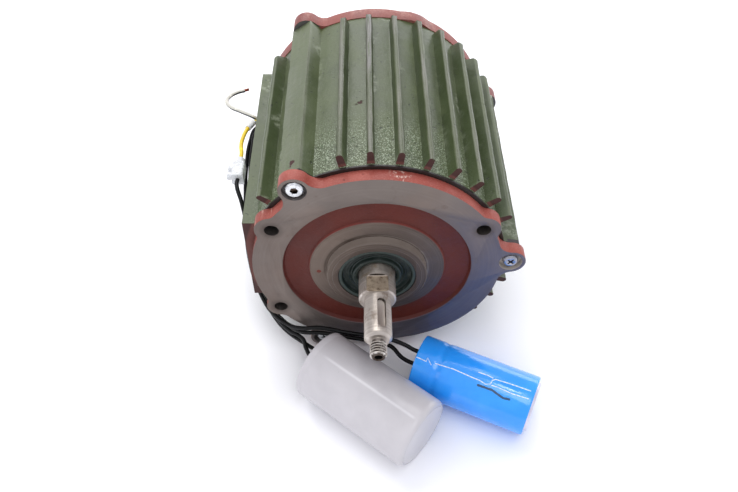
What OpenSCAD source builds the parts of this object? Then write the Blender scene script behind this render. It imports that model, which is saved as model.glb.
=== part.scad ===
// Flange-mounted single-phase motor with its two capacitors.
// The shaft lies along Y and points to -Y. The origin is the centre of the machined flange face.
// Outlines are drawn as seen from the front: X to the right, Z up.

/* [Frame casting] */
// Outer radius of the frame tube between the fins
tube_r = 77.5; // [75:0.5:80]
// Wall of the tube round the stator core
tube_wall = 7.5; // [6.5:0.1:11]
// Height of the fins above the tube
fin_h = 8.5; // [6:0.1:12]
// Thickness of a fin at its tip
fin_w = 3.6; // [2.5:0.1:5]
// Thickness that a fin gains down to its root
fin_taper = 1.2; // [0:0.1:2]
// Fins in a full bay between two bolt ribs
bay_fins = 8; // [4:2:8]
// Angle between neighbouring fins
fin_pitch = 11.4; // [9:0.1:11.8]
// Distance from the front joint to the fin ends
fin_front_gap = 2; // [0:0.5:8]
// Distance from the fin ends to the rear joint
fin_rear_gap = 9.5; // [0:0.5:15]
// Height of a bolt rib above the tube
rib_h = 8.7; // [7.5:0.1:11]
// Width of a bolt rib at its top
rib_w = 14.6; // [12:0.2:18]
// Width that a bolt rib gains down to its root
rib_flare = 6; // [0:0.5:10]

/* [Terminal pad] */
// Rise of the pad's face above the tube
pad_rise = 1; // [0.2:0.1:6]
// Height of the pad
pad_h = 66; // [56:1:74]
// Length of the lead opening along the motor
opening_len = 26; // [22:0.5:28]
// Height of the lead opening
opening_h = 24; // [20:0.5:28]
// Corner radius of the lead opening
opening_corner_r = 4; // [1:0.5:8]
// Distance from the rear joint to the middle of the opening
opening_back = 24.5; // [20:0.5:28]
// Spacing of the pad screw holes along the motor
pad_hole_run = 36; // [33:0.5:38]
// Spacing of the pad screw holes across the pad
pad_hole_rise = 48; // [40:0.5:54]
// Radius of a pad screw hole
pad_hole_r = 1.65; // [1.2:0.05:2.2]
// Depth of a pad screw hole
pad_hole_depth = 8; // [5:0.5:10]

/* [Front shield] */
// Distance from the tube's outside in to the edge of the flange
flange_inset = 2.5; // [0.5:0.1:4]
// Thickness of the flange
flange_t = 8; // [7.5:0.1:10]
// Distance from the tube's outside out to the shield screws
ear_out = 3; // [2.5:0.1:4.5]
// Radius of a screw ear
ear_r = 9; // [8:0.1:10]
// Fillet between an ear and the flange
ear_fillet = 9; // [5:0.5:12]
// Turn of the first ear from the horizontal
ear_turn = 4.2; // [0:0.1:9]
// Distance from the edge of the flange in to the mounting hole circle
mount_inset = 5; // [4:0.1:7]
// Radius of a mounting hole
mount_hole_r = 4.25; // [3:0.05:5]
// Depth of the mounting holes, which are tapped and blind
mount_hole_depth = 7; // [5:0.1:7]
// Radius of a mounting lobe
lobe_r = 10; // [8:0.5:11]
// Fillet between a lobe and the flange
lobe_fillet = 6; // [3:0.5:8]
// Angle from an ear to its mounting hole
mount_lead = 25.5; // [24:0.5:30]
// Outer radius of the painted recess as a share of the flange's
recess_share = 0.76; // [0.72:0.01:0.8]
// Inner radius of the painted recess as a share of the flange's
hub_share = 0.537; // [0.5:0.001:0.58]
// Depth of the painted recess
recess_depth = 2.5; // [1:0.1:4]
// Radius of the spigot
spigot_r = 30; // [28:0.1:34]
// Height of the spigot above the flange face
spigot_h = 6; // [4:0.5:8]

/* [Shaft] */
// Radius of the seal journal
journal_r = 11; // [10:0.1:12]
// Distance from the flange face to the end of the journal
journal_reach = 23.5; // [20:0.5:30]
// Width across the spanner flats
flats_w = 18; // [16:0.5:20]
// Length of the spanner flats
flats_len = 11; // [8:0.5:14]
// Radius of the output end
shaft_r = 8; // [7:0.1:9]
// Length of the output end
shaft_len = 28.5; // [25:0.5:40]
// Width of the keyway
key_w = 5; // [3:0.5:6]
// Length of the keyway
key_len = 20; // [14:0.5:22]
// Depth of the keyway
key_depth = 3; // [2:0.1:4]
// Turn of the keyway from straight up, towards +X
key_turn = 17; // [0:1:180]
// Crest radius of the threaded end
thread_r = 4.9; // [4:0.1:6]
// Pitch of the threaded end
thread_pitch = 2; // [1.5:0.1:2.5]
// Thread turns
thread_turns = 5; // [3:1:7]

/* [Bearings and seal] */
// Front bearing bore radius
front_brg_bore_r = 12.5; // [11.5:0.5:13]
// Front bearing outer radius
front_brg_r = 26; // [25:0.5:28]
// Front bearing width
front_brg_w = 15; // [13:0.5:16]
// Balls in the front bearing
front_balls = 9; // [7:1:9]
// Rear bearing bore radius
rear_brg_bore_r = 10; // [9:0.5:10.5]
// Rear bearing outer radius
rear_brg_r = 23.5; // [23:0.5:25]
// Rear bearing width
rear_brg_w = 14; // [12:0.5:15]
// Balls in the rear bearing
rear_balls = 8; // [6:1:8]
// Radius of a ball in either bearing
ball_r = 3.97; // [3.4:0.01:4.1]
// Outer radius of the shaft seal
seal_r = 23.5; // [21:0.5:24]
// Width of the shaft seal
seal_w = 7; // [6:0.5:7]

/* [Stator and rotor] */
// Length of the lamination stacks
stack_len = 70; // [60:1:70]
// Distance from the front joint to the stacks
stack_front = 34; // [34:0.5:40]
// Distance from the stacks to the rear joint
stack_rear = 39.5; // [39.5:0.5:46]
// Radius of the stator core's bore as a share of its outside
core_bore_share = 0.586; // [0.57:0.001:0.6]
// Air gap between the rotor and the stator
air_gap = 0.4; // [0.3:0.05:0.6]
// Stator slots
slots = 24; // [18:6:24]
// Radius at the bottom of a slot as a share of the core's outside
slot_bottom_share = 0.807; // [0.78:0.001:0.82]
// Reach of the end turns beyond the stack
end_turn_len = 23.5; // [18:0.5:23.5]
// Cage bars in the rotor
bars = 26; // [18:2:28]
// Radius of a cage bar
bar_r = 2.5; // [2:0.1:3]
// Thickness of a cage end ring
cage_ring_t = 6; // [4:0.5:6]

/* [Centrifugal switch] */
// Travel of the governor spool
spool_travel = 4; // [3:0.1:4]

/* [Capacitors] */
// Radius of the run capacitor
run_cap_r = 22.75; // [20:0.05:22.75]
// Length of the run capacitor
run_cap_len = 82; // [70:1:90]
// Radius of the start capacitor
start_cap_r = 19; // [17:0.1:19]
// Length of the start capacitor
start_cap_len = 76; // [65:1:80]

/* [Leads] */
// Diameter of every lead
lead_d = 2.8; // [2:0.1:2.8]

/* [Hidden] */
$fn = 96;

// Overrun of every cut
cut = 1;
// Gap between pieces that are pressed together
press_gap = 0.02;
// Radial clearance of every running fit
run_gap = 0.05;
// Gap between pieces that must not touch
free_gap = 0.3;
// Depth to which a fillet's arc crosses the arcs that it joins
fillet_bite = 0.06;

// Screws and tapped holes
screw_r = 2.5;
screw_hole_r = 2.8;
screw_len = 18;
counterbore_r = 7;
counterbore_depth = 3.6;
cross_head_r = 4.6;
socket_head_r = 5.3;
head_h = 3.3;
head_edge = 0.9;
recess_h = 1.8;
socket_r = 2.4;
cross_w = 1.1;
cross_len = 4.6;
tap_spare = 2;

// A fourth hole lies off the pattern, beside the lower left ear
odd_hole_lead = 33.2;
odd_hole_inset = 3.5;
odd_lobe_r = 9;

// Radii that follow the frame's tube
bore_r = tube_r - tube_wall;
fin_tip_r = tube_r + fin_h;
rib_top_r = tube_r + rib_h;
pad_reach = tube_r + pad_rise;
flange_r = tube_r - flange_inset;
ear_circle_r = tube_r + ear_out;
mount_circle_r = flange_r - mount_inset;
odd_circle_r = flange_r - odd_hole_inset;
recess_r = flange_r * recess_share;
hub_face_r = flange_r * hub_share;
core_bore_r = bore_r * core_bore_share;
slot_bottom_r = bore_r * slot_bottom_share;

// Frame and shields along Y
frame_front = flange_t;
frame_len = stack_front + stack_len + stack_rear;
frame_back = frame_front + frame_len;
opening_y = frame_back - opening_back;
register_r = bore_r + 2;
register_len = 5;
register_wall = 8;
bay_angles = [for (i = [0:2]) ear_turn + i * 360 / 3];
lobe_angles = [for (a = bay_angles) a + mount_lead];
side_fins = [142, 217, 230.5];
fin_y = frame_front + fin_front_gap;
fin_run = frame_len - fin_front_gap - fin_rear_gap;
fin_round = fin_w / 2;
rest_fin_turn = fin_pitch / 2;
ground_z = -((fin_tip_r - fin_round) * cos(rest_fin_turn) + fin_round);

// Rear shield
rear_rim_out = 0.5;
rear_rim_r = tube_r + rear_rim_out;
rear_rim_t = 10;
rear_pad_rise = 1.3;
rear_pad_angles = [62, 77];
rear_dish_inset = 13.5;
rear_dish_r = tube_r - rear_dish_inset;
rear_dish_depth = 5.5;
rear_boss_r = 30;
rear_boss_rise = 4;
rear_ribs = 6;
rear_rib_w = 5;
housing_wall = 5.5;

// Shaft steps along Y
thread_relief = 1;
thread_len = thread_turns * thread_pitch + thread_relief;
shaft_front = -journal_reach - shaft_len;
thread_front = shaft_front - thread_len;
thread_depth = 0.8;
shoulder_chamfer = 1.8;
small_chamfer = 0.8;
centre_hole_r = 2.1;
centre_hole_depth = 6;
centre_sink = 0.9;
key_back_gap = 3.5;

// Bearings along Y
seal_sink = 0.5;
seal_front = -spigot_h + seal_sink;
seal_back = seal_front + seal_w;
lip_t = 3;
front_brg_y = seal_back + lip_t;
hub_rim_t = 1.3;
hub_wall = 8;
hub_back = front_brg_y + front_brg_w + hub_rim_t;
hub_r = front_brg_r + hub_wall;
lip_bore_r = 19.5;
shaft_collar_len = 4;
shaft_collar_share = 0.39;
core_seat_share = 0.366;
shaft_collar_r = core_bore_r * shaft_collar_share;
core_seat_r = core_bore_r * core_seat_share;
seal_rim_t = 2.2;
seal_lip_t = 4;
seal_trough = 3;
garter_r = 0.7;
garter_inset = 1.4;
rear_gap = 2.1;
rear_pocket_sink = 2.5;
rear_brg_back = frame_back + rear_rim_t - rear_dish_depth + rear_pocket_sink - rear_gap;
rear_brg_y = rear_brg_back - rear_brg_w;
washer_t = 0.45;
race_land = 0.32;
race_slack = 0.08;
cage_t = 1;

// Stacks and windings along Y
stack_y = frame_front + stack_front;
stack_end = stack_y + stack_len;
rotor_r = core_bore_r - air_gap;
slot_mouth = 2.5;
slot_neck = 2.4;
slot_w_top = 5.2;
slot_w_bottom = 8;
wire_gap = 0.4;
coil_split = 0.5;
turn_gap = 1;
main_turn_shares = [0.7086, 0.8857];
start_turn_shares = [0.6086, 0.6986];
main_turn_r = bore_r * main_turn_shares;
start_turn_r = bore_r * start_turn_shares;
turn_round = 2;
bar_inset = 5;
bar_circle_r = core_bore_r - bar_inset;
cage_inner_share = 0.683;
cage_inner_r = core_bore_r * cage_inner_share;

// Governor radii as shares of the stator core's bore
governor_seat_share = 0.2927;
spool_sleeve_share = 0.3415;
base_sleeve_share = 0.39;
finger_tip_share = 0.4098;
spool_flange_share = 0.4488;
spool_disc_share = 0.561;
pivot_share = 0.7073;
base_share = 0.8049;
weight_shares = [0.8195, 0.9171];
governor_seat_r = core_bore_r * governor_seat_share;
spool_sleeve_r = core_bore_r * spool_sleeve_share;
base_sleeve_r = core_bore_r * base_sleeve_share;
spool_flange_r = core_bore_r * spool_flange_share;
spool_disc_r = core_bore_r * spool_disc_share;
pivot_r = core_bore_r * pivot_share;
base_r = core_bore_r * base_share;
weight_r = core_bore_r * weight_shares;

// Governor along Y
base_gap = 0.4;
base_y = stack_end + cage_ring_t + base_gap;
base_t = 2;
base_sleeve_t = 3;
spool_rise = 10.2;
spool_y = base_y + spool_rise;
spool_flange_t = 1.5;
spool_groove_w = 3.5;
spool_disc_t = 2;
pivot_drop = 1;
pivot_y = spool_y - pivot_drop;
pin_r = 1.5;
lug_t = 2;
lug_in = 4.8;
lug_w = 5;
lug_top = 2.6;
finger_w = 4;
finger_t = 1.6;
finger_tip = [core_bore_r * finger_tip_share, spool_y + spool_flange_t + spool_groove_w / 2];
finger_tip_r = 1.3;
weight_hub_r = 3;
weight_len = 8.4;
weight_half_angle = 20;

// Switch
plate_inner_gap = 1;
plate_outer_gap = 6;
plate_r = [rear_brg_r + housing_wall + plate_inner_gap, register_r - register_wall - plate_outer_gap];
plate_t = 2;
plate_boss = 3.5;
plate_half_angle = 40;
plate_screw_inset = 6;
plate_screw_circle_r = plate_r[1] - plate_screw_inset;
plate_screw_angle = 30;
plate_screw_r = 1.5;
plate_screw_len = 7;
plate_head_r = 2.8;
plate_head_h = 1.8;
arm_pivot_z = 37.5;
arm_pin_r = 1;
arm_w = 6;
arm_t = 1.4;
arm_foot_z = 17;
arm_hub_r = 2.2;
arm_lug_t = 1.5;
contact_z = 31;
contact_r = 2;
contact_t = 1.5;
stud_r = 1.4;

// Where the capacitors lie on the ground
run_cap_at = [-37, -26.5];
run_cap_turn = -38.5;
start_cap_at = [27.2, -24.4];
start_cap_turn = -25;
cap_edge = 2.4;
potting_r_gap = 1.6;
potting_depth = 2.5;
can_gap = 0.05;
film_t = 0.4;
film_lip = 3;
groove_at_share = 0.2;
groove_depth = 1;
groove_w = 2.4;
header_t = 3;

// Leads are drawn for an opening at this place, and follow it to the share given with each
leads_drawn_for_y = 127;
lead_shift = opening_y - leads_drawn_for_y;
function followed(path, far_share) = let (first = path[0][1], last = path[len(path) - 1][1]) [
    for (p = path) p + [0, lead_shift * (far_share + (1 - far_share) * (p[1] - last) / (first - last)), 0]
];

// Terminal block on the yellow lead
block_x = -90.5;
block_z = 10;
block_y = [68.5, 87.5] + [1, 1] * lead_shift;
block_body_len = 13.5;
block_w = 8;
block_h = 9;
block_corner = 1.5;
collar_r = 3.1;
tower_r = 2.6;
tower_rise = 7;
tube_outer_r = 2.2;
tube_bore_r = 1.6;
block_screw_r = 1.4;
block_screw_len = 4;

// Lead routes, chosen by hand
run_low_path = followed([
    [-62.2, 117, 7], [-82.5, 117, 5.5], [-84, 112, -4], [-85.5, 100, -24], [-86, 86, -42],
    [-85.5, 68, -57], [-82.5, 48, -67], [-76, 29, -72.5], [-68.5, 15.5, -73.5],
    [-59.5, 4.5, -73], [-50, -4, -71.5], [-42.5, -10, -70.5], [-36.5, -14.7, -70], [-31.1, -19, -70]
], 0);
run_high_path = followed([
    [-62.2, 121.5, 7], [-83, 121.5, 5.5], [-86.6, 116, -3], [-89.2, 104, -20], [-90, 89.5, -38],
    [-89.6, 72, -52.5], [-86.4, 52.5, -62], [-79.2, 32, -67], [-68.8, 15, -68.5], [-57.5, 2, -68.3],
    [-52, -2.2, -66.8], [-48.6, -5.5, -67.3], [-46.8, -11, -68.5], [-43.5, -17.4, -69],
    [-35.2, -24.1, -69]
], 0);
start_low_path = followed([
    [-62.2, 126, 7], [-83.5, 126, 5.5], [-88.5, 120.5, -2], [-92, 108, -17], [-93.2, 93.5, -33.5],
    [-92.8, 77, -47.5], [-89.8, 58, -57], [-82.4, 36.5, -62.5], [-71.2, 18.5, -64.4], [-57, 3.5, -65],
    [-49, -2.8, -62], [-38, -4.5, -60.3], [-21, -7.5, -60.6], [-5, -10, -62], [9, -12.8, -64],
    [16.5, -21.2, -65], [21.4, -25, -64.5], [25.9, -27.1, -64.5]
], 0);
start_high_path = followed([
    [-90.5, 68.5, 10], [-90.5, 63.5, 10], [-86.8, 53, 4], [-84.8, 46.5, -8], [-85, 40, -30],
    [-82.5, 32.5, -47], [-77, 21.5, -56], [-69.5, 10.5, -58.5], [-57.5, 1, -59.5],
    [-50.5, -2.8, -57.3], [-37, -4.4, -54.8], [-21, -8, -54.8], [-5, -10.5, -55.6],
    [10.2, -12.8, -57.2], [19, -16, -58.6], [24.4, -18.7, -60], [28.8, -20.8, -60]
], 0);
white_path = followed([
    [-62.2, 134.2, 6], [-83, 134.2, 6.5], [-87.5, 134.8, 9], [-96, 139, 10], [-104, 144.5, 10],
    [-107, 150, 10], [-105.5, 156, 10], [-101, 160.5, 10], [-95.5, 163, 10]
], 1);
yellow_path = followed([
    [-62.2, 131, 5], [-82, 131, 6.5], [-85.5, 129, 8.5], [-89, 119.5, 10], [-91.3, 109, 10],
    [-91.6, 102, 10], [-90.5, 94, 10], [-90.5, 87.5, 10]
], 1);
lead_sides = 8;
sleeve_r = [1.5, 2.1];
sleeve_len = 9;

// Point at radius r and angle a in the front view
function polar(r, a) = [r * cos(a), r * sin(a)];
function unit(v) = v / norm(v);

// An outline drawn in the front view, run back from y
module along(y, len) rotate([90, 0, 0]) translate([0, 0, -y - len]) linear_extrude(len) children();

// A profile of [radius, y] points turned round the shaft axis
module spun(pts) rotate([90, 0, 0]) rotate_extrude() polygon([for (p = pts) [p[0], -p[1]]]);

module ring(r_in, r_out, y, len) along(y, len) difference() {
    circle(r_out);
    circle(r_in);
}

// What is drawn at azimuth zero goes to each angle round the shaft
module turned(angles) for (a = angles) rotate([0, -a, 0]) children();

// A round lobe on a disc of radius disc, with fillets that bite slightly into both arcs
module lobe(centre_r, r, disc, fillet) {
    reach = disc + fillet;
    half = acos((centre_r ^ 2 + reach ^ 2 - (r + fillet) ^ 2) / (2 * centre_r * reach));
    translate([centre_r, 0]) circle(r);
    difference() {
        polygon([[0, 0], polar(reach, half), [centre_r, 0], polar(reach, -half)]);
        for (s = [1, -1]) rotate(s * half) translate([reach, 0]) circle(fillet + fillet_bite);
    }
}

// The direction u carried along a route without twist
function carried(dirs, i, u) = i == len(dirs) ? [] :
    let (v = unit(u - dirs[i] * (u * dirs[i]))) concat([v], carried(dirs, i + 1, v));

// Tube swept along a route, its rings square to the mean direction at each point
module lead(path, r) {
    n = len(path);
    dirs = [for (i = [0:n - 1])
        i == 0 ? unit(path[1] - path[0])
        : i == n - 1 ? unit(path[i] - path[i - 1])
        : unit(unit(path[i + 1] - path[i]) + unit(path[i] - path[i - 1]))];
    sides = carried(dirs, 0, [0, 0, 1]);
    pts = [for (i = [0:n - 1], k = [0:lead_sides - 1])
        let (a = 360 * (k + 1 / 2) / lead_sides, u = sides[i], v = cross(dirs[i], u))
        path[i] + r * (cos(a) * u + sin(a) * v)];
    function at(i, k) = i * lead_sides + k % lead_sides;
    walls = [for (i = [0:n - 2], k = [0:lead_sides - 1], h = [0, 1])
        h == 0 ? [at(i, k), at(i + 1, k), at(i + 1, k + 1)] : [at(i, k), at(i + 1, k + 1), at(i, k + 1)]];
    start = [for (k = [1:lead_sides - 2]) [at(0, 0), at(0, k), at(0, k + 1)]];
    end = [for (k = [1:lead_sides - 2]) [at(n - 1, 0), at(n - 1, k + 1), at(n - 1, k)]];
    polyhedron(pts, concat(walls, start, end));
}

module fin_outline() {
    root = tube_r - fin_w;
    half = fin_w / 2;
    top = fin_tip_r - fin_round;
    polygon([[root, -half - fin_taper / 2], [top, -half], [top, half], [root, half + fin_taper / 2]]);
    translate([top, 0]) circle(fin_round);
}

module bolt_rib_outline() {
    root = tube_r - fin_w;
    polygon([
        [root, -(rib_w + rib_flare) / 2], [rib_top_r, -rib_w / 2],
        [rib_top_r, rib_w / 2], [root, (rib_w + rib_flare) / 2]
    ]);
}

module frame_tube_outline() difference() {
    union() {
        circle(tube_r);
        for (a = bay_angles) rotate(a) bolt_rib_outline();
        translate([-pad_reach, -pad_h / 2]) square([pad_reach / 2, pad_h]);
    }
    circle(bore_r);
}

module fins_outline() difference() {
    union() {
        for (b = [0, 2], i = [0:bay_fins - 1])
            rotate(bay_angles[b] + 60 + fin_pitch * (i - (bay_fins - 1) / 2)) fin_outline();
        for (a = side_fins) rotate(a) fin_outline();
    }
    circle((tube_r + bore_r) / 2);
}

// Rounded rectangle, u across and v up
module round_rect(u, v, r) {
    square([u - 2 * r, v], center = true);
    square([u, v - 2 * r], center = true);
    for (i = [1, -1], j = [1, -1]) translate([i * (u / 2 - r), j * (v / 2 - r)]) circle(r);
}

module stator_frame() {
    color([0.30, 0.36, 0.24]) difference() {
        union() {
            along(frame_front, frame_len) frame_tube_outline();
            along(fin_y, fin_run) fins_outline();
        }
        for (y = [frame_front - cut, frame_back - register_len - free_gap])
            along(y, register_len + free_gap + cut) circle(register_r);
        turned(bay_angles) for (y = [frame_front - cut, frame_back - screw_len + counterbore_depth])
            along(y, screw_len - counterbore_depth + cut) translate([ear_circle_r, 0])
                circle(screw_r + run_gap);
        translate([-pad_reach - cut, opening_y, 0]) rotate([0, 90, 0])
            linear_extrude(pad_reach - bore_r + 4 * fin_w)
                round_rect(opening_h, opening_len, opening_corner_r);
        for (i = [1, -1], j = [1, -1])
            translate([-pad_reach - cut, opening_y + i * pad_hole_run / 2, j * pad_hole_rise / 2])
                rotate([0, 90, 0]) cylinder(h = pad_hole_depth + cut, r = pad_hole_r);
    }
}

module flange_outline() {
    circle(flange_r);
    for (a = bay_angles) rotate(a) lobe(ear_circle_r, ear_r, flange_r, ear_fillet);
    for (a = lobe_angles) rotate(a) lobe(mount_circle_r, lobe_r, flange_r, lobe_fillet);
    rotate(bay_angles[2] - odd_hole_lead) lobe(odd_circle_r, odd_lobe_r, flange_r, lobe_fillet);
}

module front_shield() color([0.62, 0.28, 0.24]) difference() {
    union() {
        along(0, flange_t) flange_outline();
        ring(register_r - register_wall, register_r - run_gap, flange_t - cut, register_len + cut);
        spun([
            [0, -spigot_h], [spigot_r - small_chamfer, -spigot_h], [spigot_r, -spigot_h + small_chamfer],
            [spigot_r, cut], [hub_r, cut], [hub_r, hub_back - small_chamfer],
            [hub_r - small_chamfer, hub_back], [0, hub_back]
        ]);
    }
    spun([
        [hub_face_r, -cut], [hub_face_r, 0], [hub_face_r + recess_depth / 2, recess_depth],
        [recess_r - recess_depth / 2, recess_depth], [recess_r, 0], [recess_r, -cut]
    ]);
    along(-spigot_h - cut, seal_back + spigot_h + cut) circle(seal_r);
    along(seal_back - cut, lip_t + 2 * cut) circle(lip_bore_r);
    along(front_brg_y, hub_back - front_brg_y + cut) circle(front_brg_r + run_gap);
    turned(lobe_angles) along(-cut, mount_hole_depth + cut) translate([mount_circle_r, 0])
        circle(mount_hole_r);
    turned([bay_angles[2] - odd_hole_lead])
        along(-cut, mount_hole_depth + cut) translate([odd_circle_r, 0]) circle(mount_hole_r);
    turned(bay_angles) {
        along(-cut, counterbore_depth + cut) translate([ear_circle_r, 0]) circle(counterbore_r);
        along(0, flange_t + cut) translate([ear_circle_r, 0]) circle(screw_hole_r);
    }
}

module rear_outline() {
    circle(rear_rim_r);
    for (a = bay_angles) rotate(a) lobe(ear_circle_r, ear_r, rear_rim_r, ear_fillet);
    intersection() {
        circle(rear_rim_r + rear_pad_rise);
        polygon([[0, 0], polar(2 * rear_rim_r, rear_pad_angles[0]),
            polar(2 * rear_rim_r, rear_pad_angles[1])]);
    }
}

module rear_shield() {
    back = frame_back + rear_rim_t;
    floor_y = back - rear_dish_depth;
    boss_back = back + rear_boss_rise;
    color([0.62, 0.28, 0.24]) difference() {
        union() {
            along(frame_back, rear_rim_t) rear_outline();
            ring(register_r - register_wall, register_r - run_gap, frame_back - register_len,
                register_len + cut);
            along(rear_brg_y, boss_back - rear_brg_y) circle(rear_brg_r + housing_wall);
            turned([for (s = [1, -1]) 90 + s * plate_screw_angle])
                along(frame_back - plate_boss, plate_boss + cut)
                translate([plate_screw_circle_r, 0]) circle(plate_head_r + plate_screw_r);
        }
        difference() {
            spun([
                [rear_boss_r, back + cut], [rear_boss_r, floor_y],
                    [rear_dish_r - rear_dish_depth / 2, floor_y],
                [rear_dish_r, back], [rear_dish_r, back + cut]
            ]);
            turned([for (i = [0:rear_ribs - 1]) ear_turn + 360 * i / rear_ribs])
                translate([0, floor_y - cut, -rear_rib_w / 2])
                    cube([rear_dish_r, rear_dish_depth, rear_rib_w]);
        }
        along(rear_brg_y - cut, rear_brg_w + rear_gap + cut) circle(rear_brg_r + run_gap);
        turned(bay_angles) {
            along(back - counterbore_depth, counterbore_depth + cut) translate([ear_circle_r, 0])
                circle(counterbore_r);
            along(frame_back - cut, rear_rim_t + cut) translate([ear_circle_r, 0]) circle(screw_hole_r);
        }
    }
}

// Pan-head screw along +Y with its seat at y = 0
module screw(head_r) {
    spun([
        [0, -head_h], [head_r - head_edge, -head_h], [head_r, -head_h + head_edge], [head_r, 0],
        [screw_r, 0], [screw_r, screw_len - small_chamfer], [screw_r - small_chamfer, screw_len],
            [0, screw_len]
    ]);
}

module cross_screw() difference() {
    screw(cross_head_r);
    for (a = [45, 135]) rotate([0, a, 0])
        translate([-cross_len / 2, -head_h - cut, -cross_w / 2]) cube([cross_len, recess_h + cut, cross_w]);
}

module front_socket_screw() color([0.85, 0.85, 0.86]) turned([bay_angles[1]])
    translate([ear_circle_r, counterbore_depth, 0]) difference() {
        screw(socket_head_r);
        rotate([90, 0, 0]) translate([0, 0, head_h - recess_h])
            cylinder(h = recess_h + cut, r = socket_r, $fn = 6);
    }

module front_cross_screws() color([0.75, 0.78, 0.85]) turned([bay_angles[0], bay_angles[2]])
    translate([ear_circle_r, counterbore_depth, 0]) cross_screw();

module rear_shield_screws() color([0.75, 0.78, 0.85]) turned(bay_angles)
    translate([ear_circle_r, frame_back + rear_rim_t - counterbore_depth, 0]) rotate([180, 0, 0])
        cross_screw();

module shaft_seal() {
    lip_r = journal_r + run_gap;
    wall = seal_r - press_gap;
    rim = seal_r - seal_rim_t;
    lip_out = journal_r + seal_lip_t;
    web_y = seal_front + seal_trough;
    color([0.08, 0.14, 0.13]) spun([
        [wall, seal_back], [wall, seal_front + head_edge / 2], [wall - head_edge / 2, seal_front],
        [rim + head_edge / 2, seal_front], [rim, seal_front + head_edge / 2], [rim, web_y],
            [lip_out, web_y],
        [lip_out, seal_front + head_edge], [lip_out - head_edge, seal_front],
        [lip_r + head_edge, seal_front], [lip_r, seal_front + head_edge], [lip_r, web_y],
        [lip_r + head_edge, seal_back - head_edge], [lip_out - head_edge, seal_back - head_edge],
        [lip_out - head_edge, web_y + head_edge], [rim, web_y + head_edge], [rim, seal_back]
    ]);
}

module seal_garter_spring() color([0.7, 0.7, 0.7]) rotate([90, 0, 0]) rotate_extrude()
    translate([journal_r + seal_lip_t - head_edge + garter_r + press_gap, -seal_back + garter_inset])
    circle(garter_r);

// Half width of a slot at radius r
function slot_half(r) = let (a = core_bore_r + 2 * slot_neck)
    (slot_w_top + (slot_w_bottom - slot_w_top) * (r - a) / (slot_bottom_r - a)) / 2;

module slot_outline() polygon([
    [core_bore_r - cut, -slot_mouth / 2], [core_bore_r + slot_neck / 2, -slot_mouth / 2],
    [core_bore_r + 1.4 * slot_neck, -slot_w_top / 2], [slot_bottom_r, -slot_w_bottom / 2],
    [slot_bottom_r, slot_w_bottom / 2], [core_bore_r + 1.4 * slot_neck, slot_w_top / 2],
    [core_bore_r + slot_neck / 2, slot_mouth / 2], [core_bore_r - cut, slot_mouth / 2]
]);

module stator_core() color([0.45, 0.45, 0.47]) along(stack_y, stack_len) difference() {
    circle(bore_r - press_gap);
    circle(core_bore_r);
    for (i = [0:slots - 1]) rotate(360 * i / slots) slot_outline();
}

// Conductors in every slot between two radii
module slot_bars(r0, r1) along(stack_y - 2 * turn_gap, stack_len + 4 * turn_gap)
    for (i = [0:slots - 1]) rotate(360 * i / slots) polygon([
        [r0, -slot_half(r0) + wire_gap], [r1, -slot_half(r1) + wire_gap],
        [r1, slot_half(r1) - wire_gap], [r0, slot_half(r0) - wire_gap]
    ]);

// Bundle of end turns with rounded corners, from y0 out to y1
module end_turns(r, y0, y1) {
    s = sign(y1 - y0) * turn_round;
    spun([
        [r[0], y0], [r[0], y1 - s], [r[0] + turn_round, y1], [r[1] - turn_round, y1], [r[1], y1 - s],
            [r[1], y0]
    ]);
}

module winding(turn_r, bar_span) {
    slot_bars(bar_span[0], bar_span[1]);
    end_turns(turn_r, stack_y - turn_gap, stack_y - end_turn_len);
    end_turns(turn_r, stack_end + turn_gap, stack_end + end_turn_len);
}

module main_winding() {
    split = (core_bore_r + 2 * slot_neck + slot_bottom_r) / 2;
    color([0.72, 0.38, 0.18]) winding(main_turn_r, [split + coil_split / 2, slot_bottom_r - wire_gap]);
}

module start_winding() {
    split = (core_bore_r + 2 * slot_neck + slot_bottom_r) / 2;
    inner = core_bore_r + 2 * slot_neck;
    color([0.80, 0.48, 0.22]) winding(start_turn_r,
        [inner, min(split - coil_split / 2, start_turn_r[1] - wire_gap)]);
}

// Ring grooves that stand for the turns of the threaded end
function thread_profile() = [for (i = [0:thread_turns - 1])
    let (y = thread_front + i * thread_pitch)
    each [
        [thread_r, y + thread_pitch * 0.15], [thread_r, y + thread_pitch * 0.4],
        [thread_r - thread_depth, y + thread_pitch * 0.75],
            [thread_r - thread_depth, y + thread_pitch * 0.85]
    ]];

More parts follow.
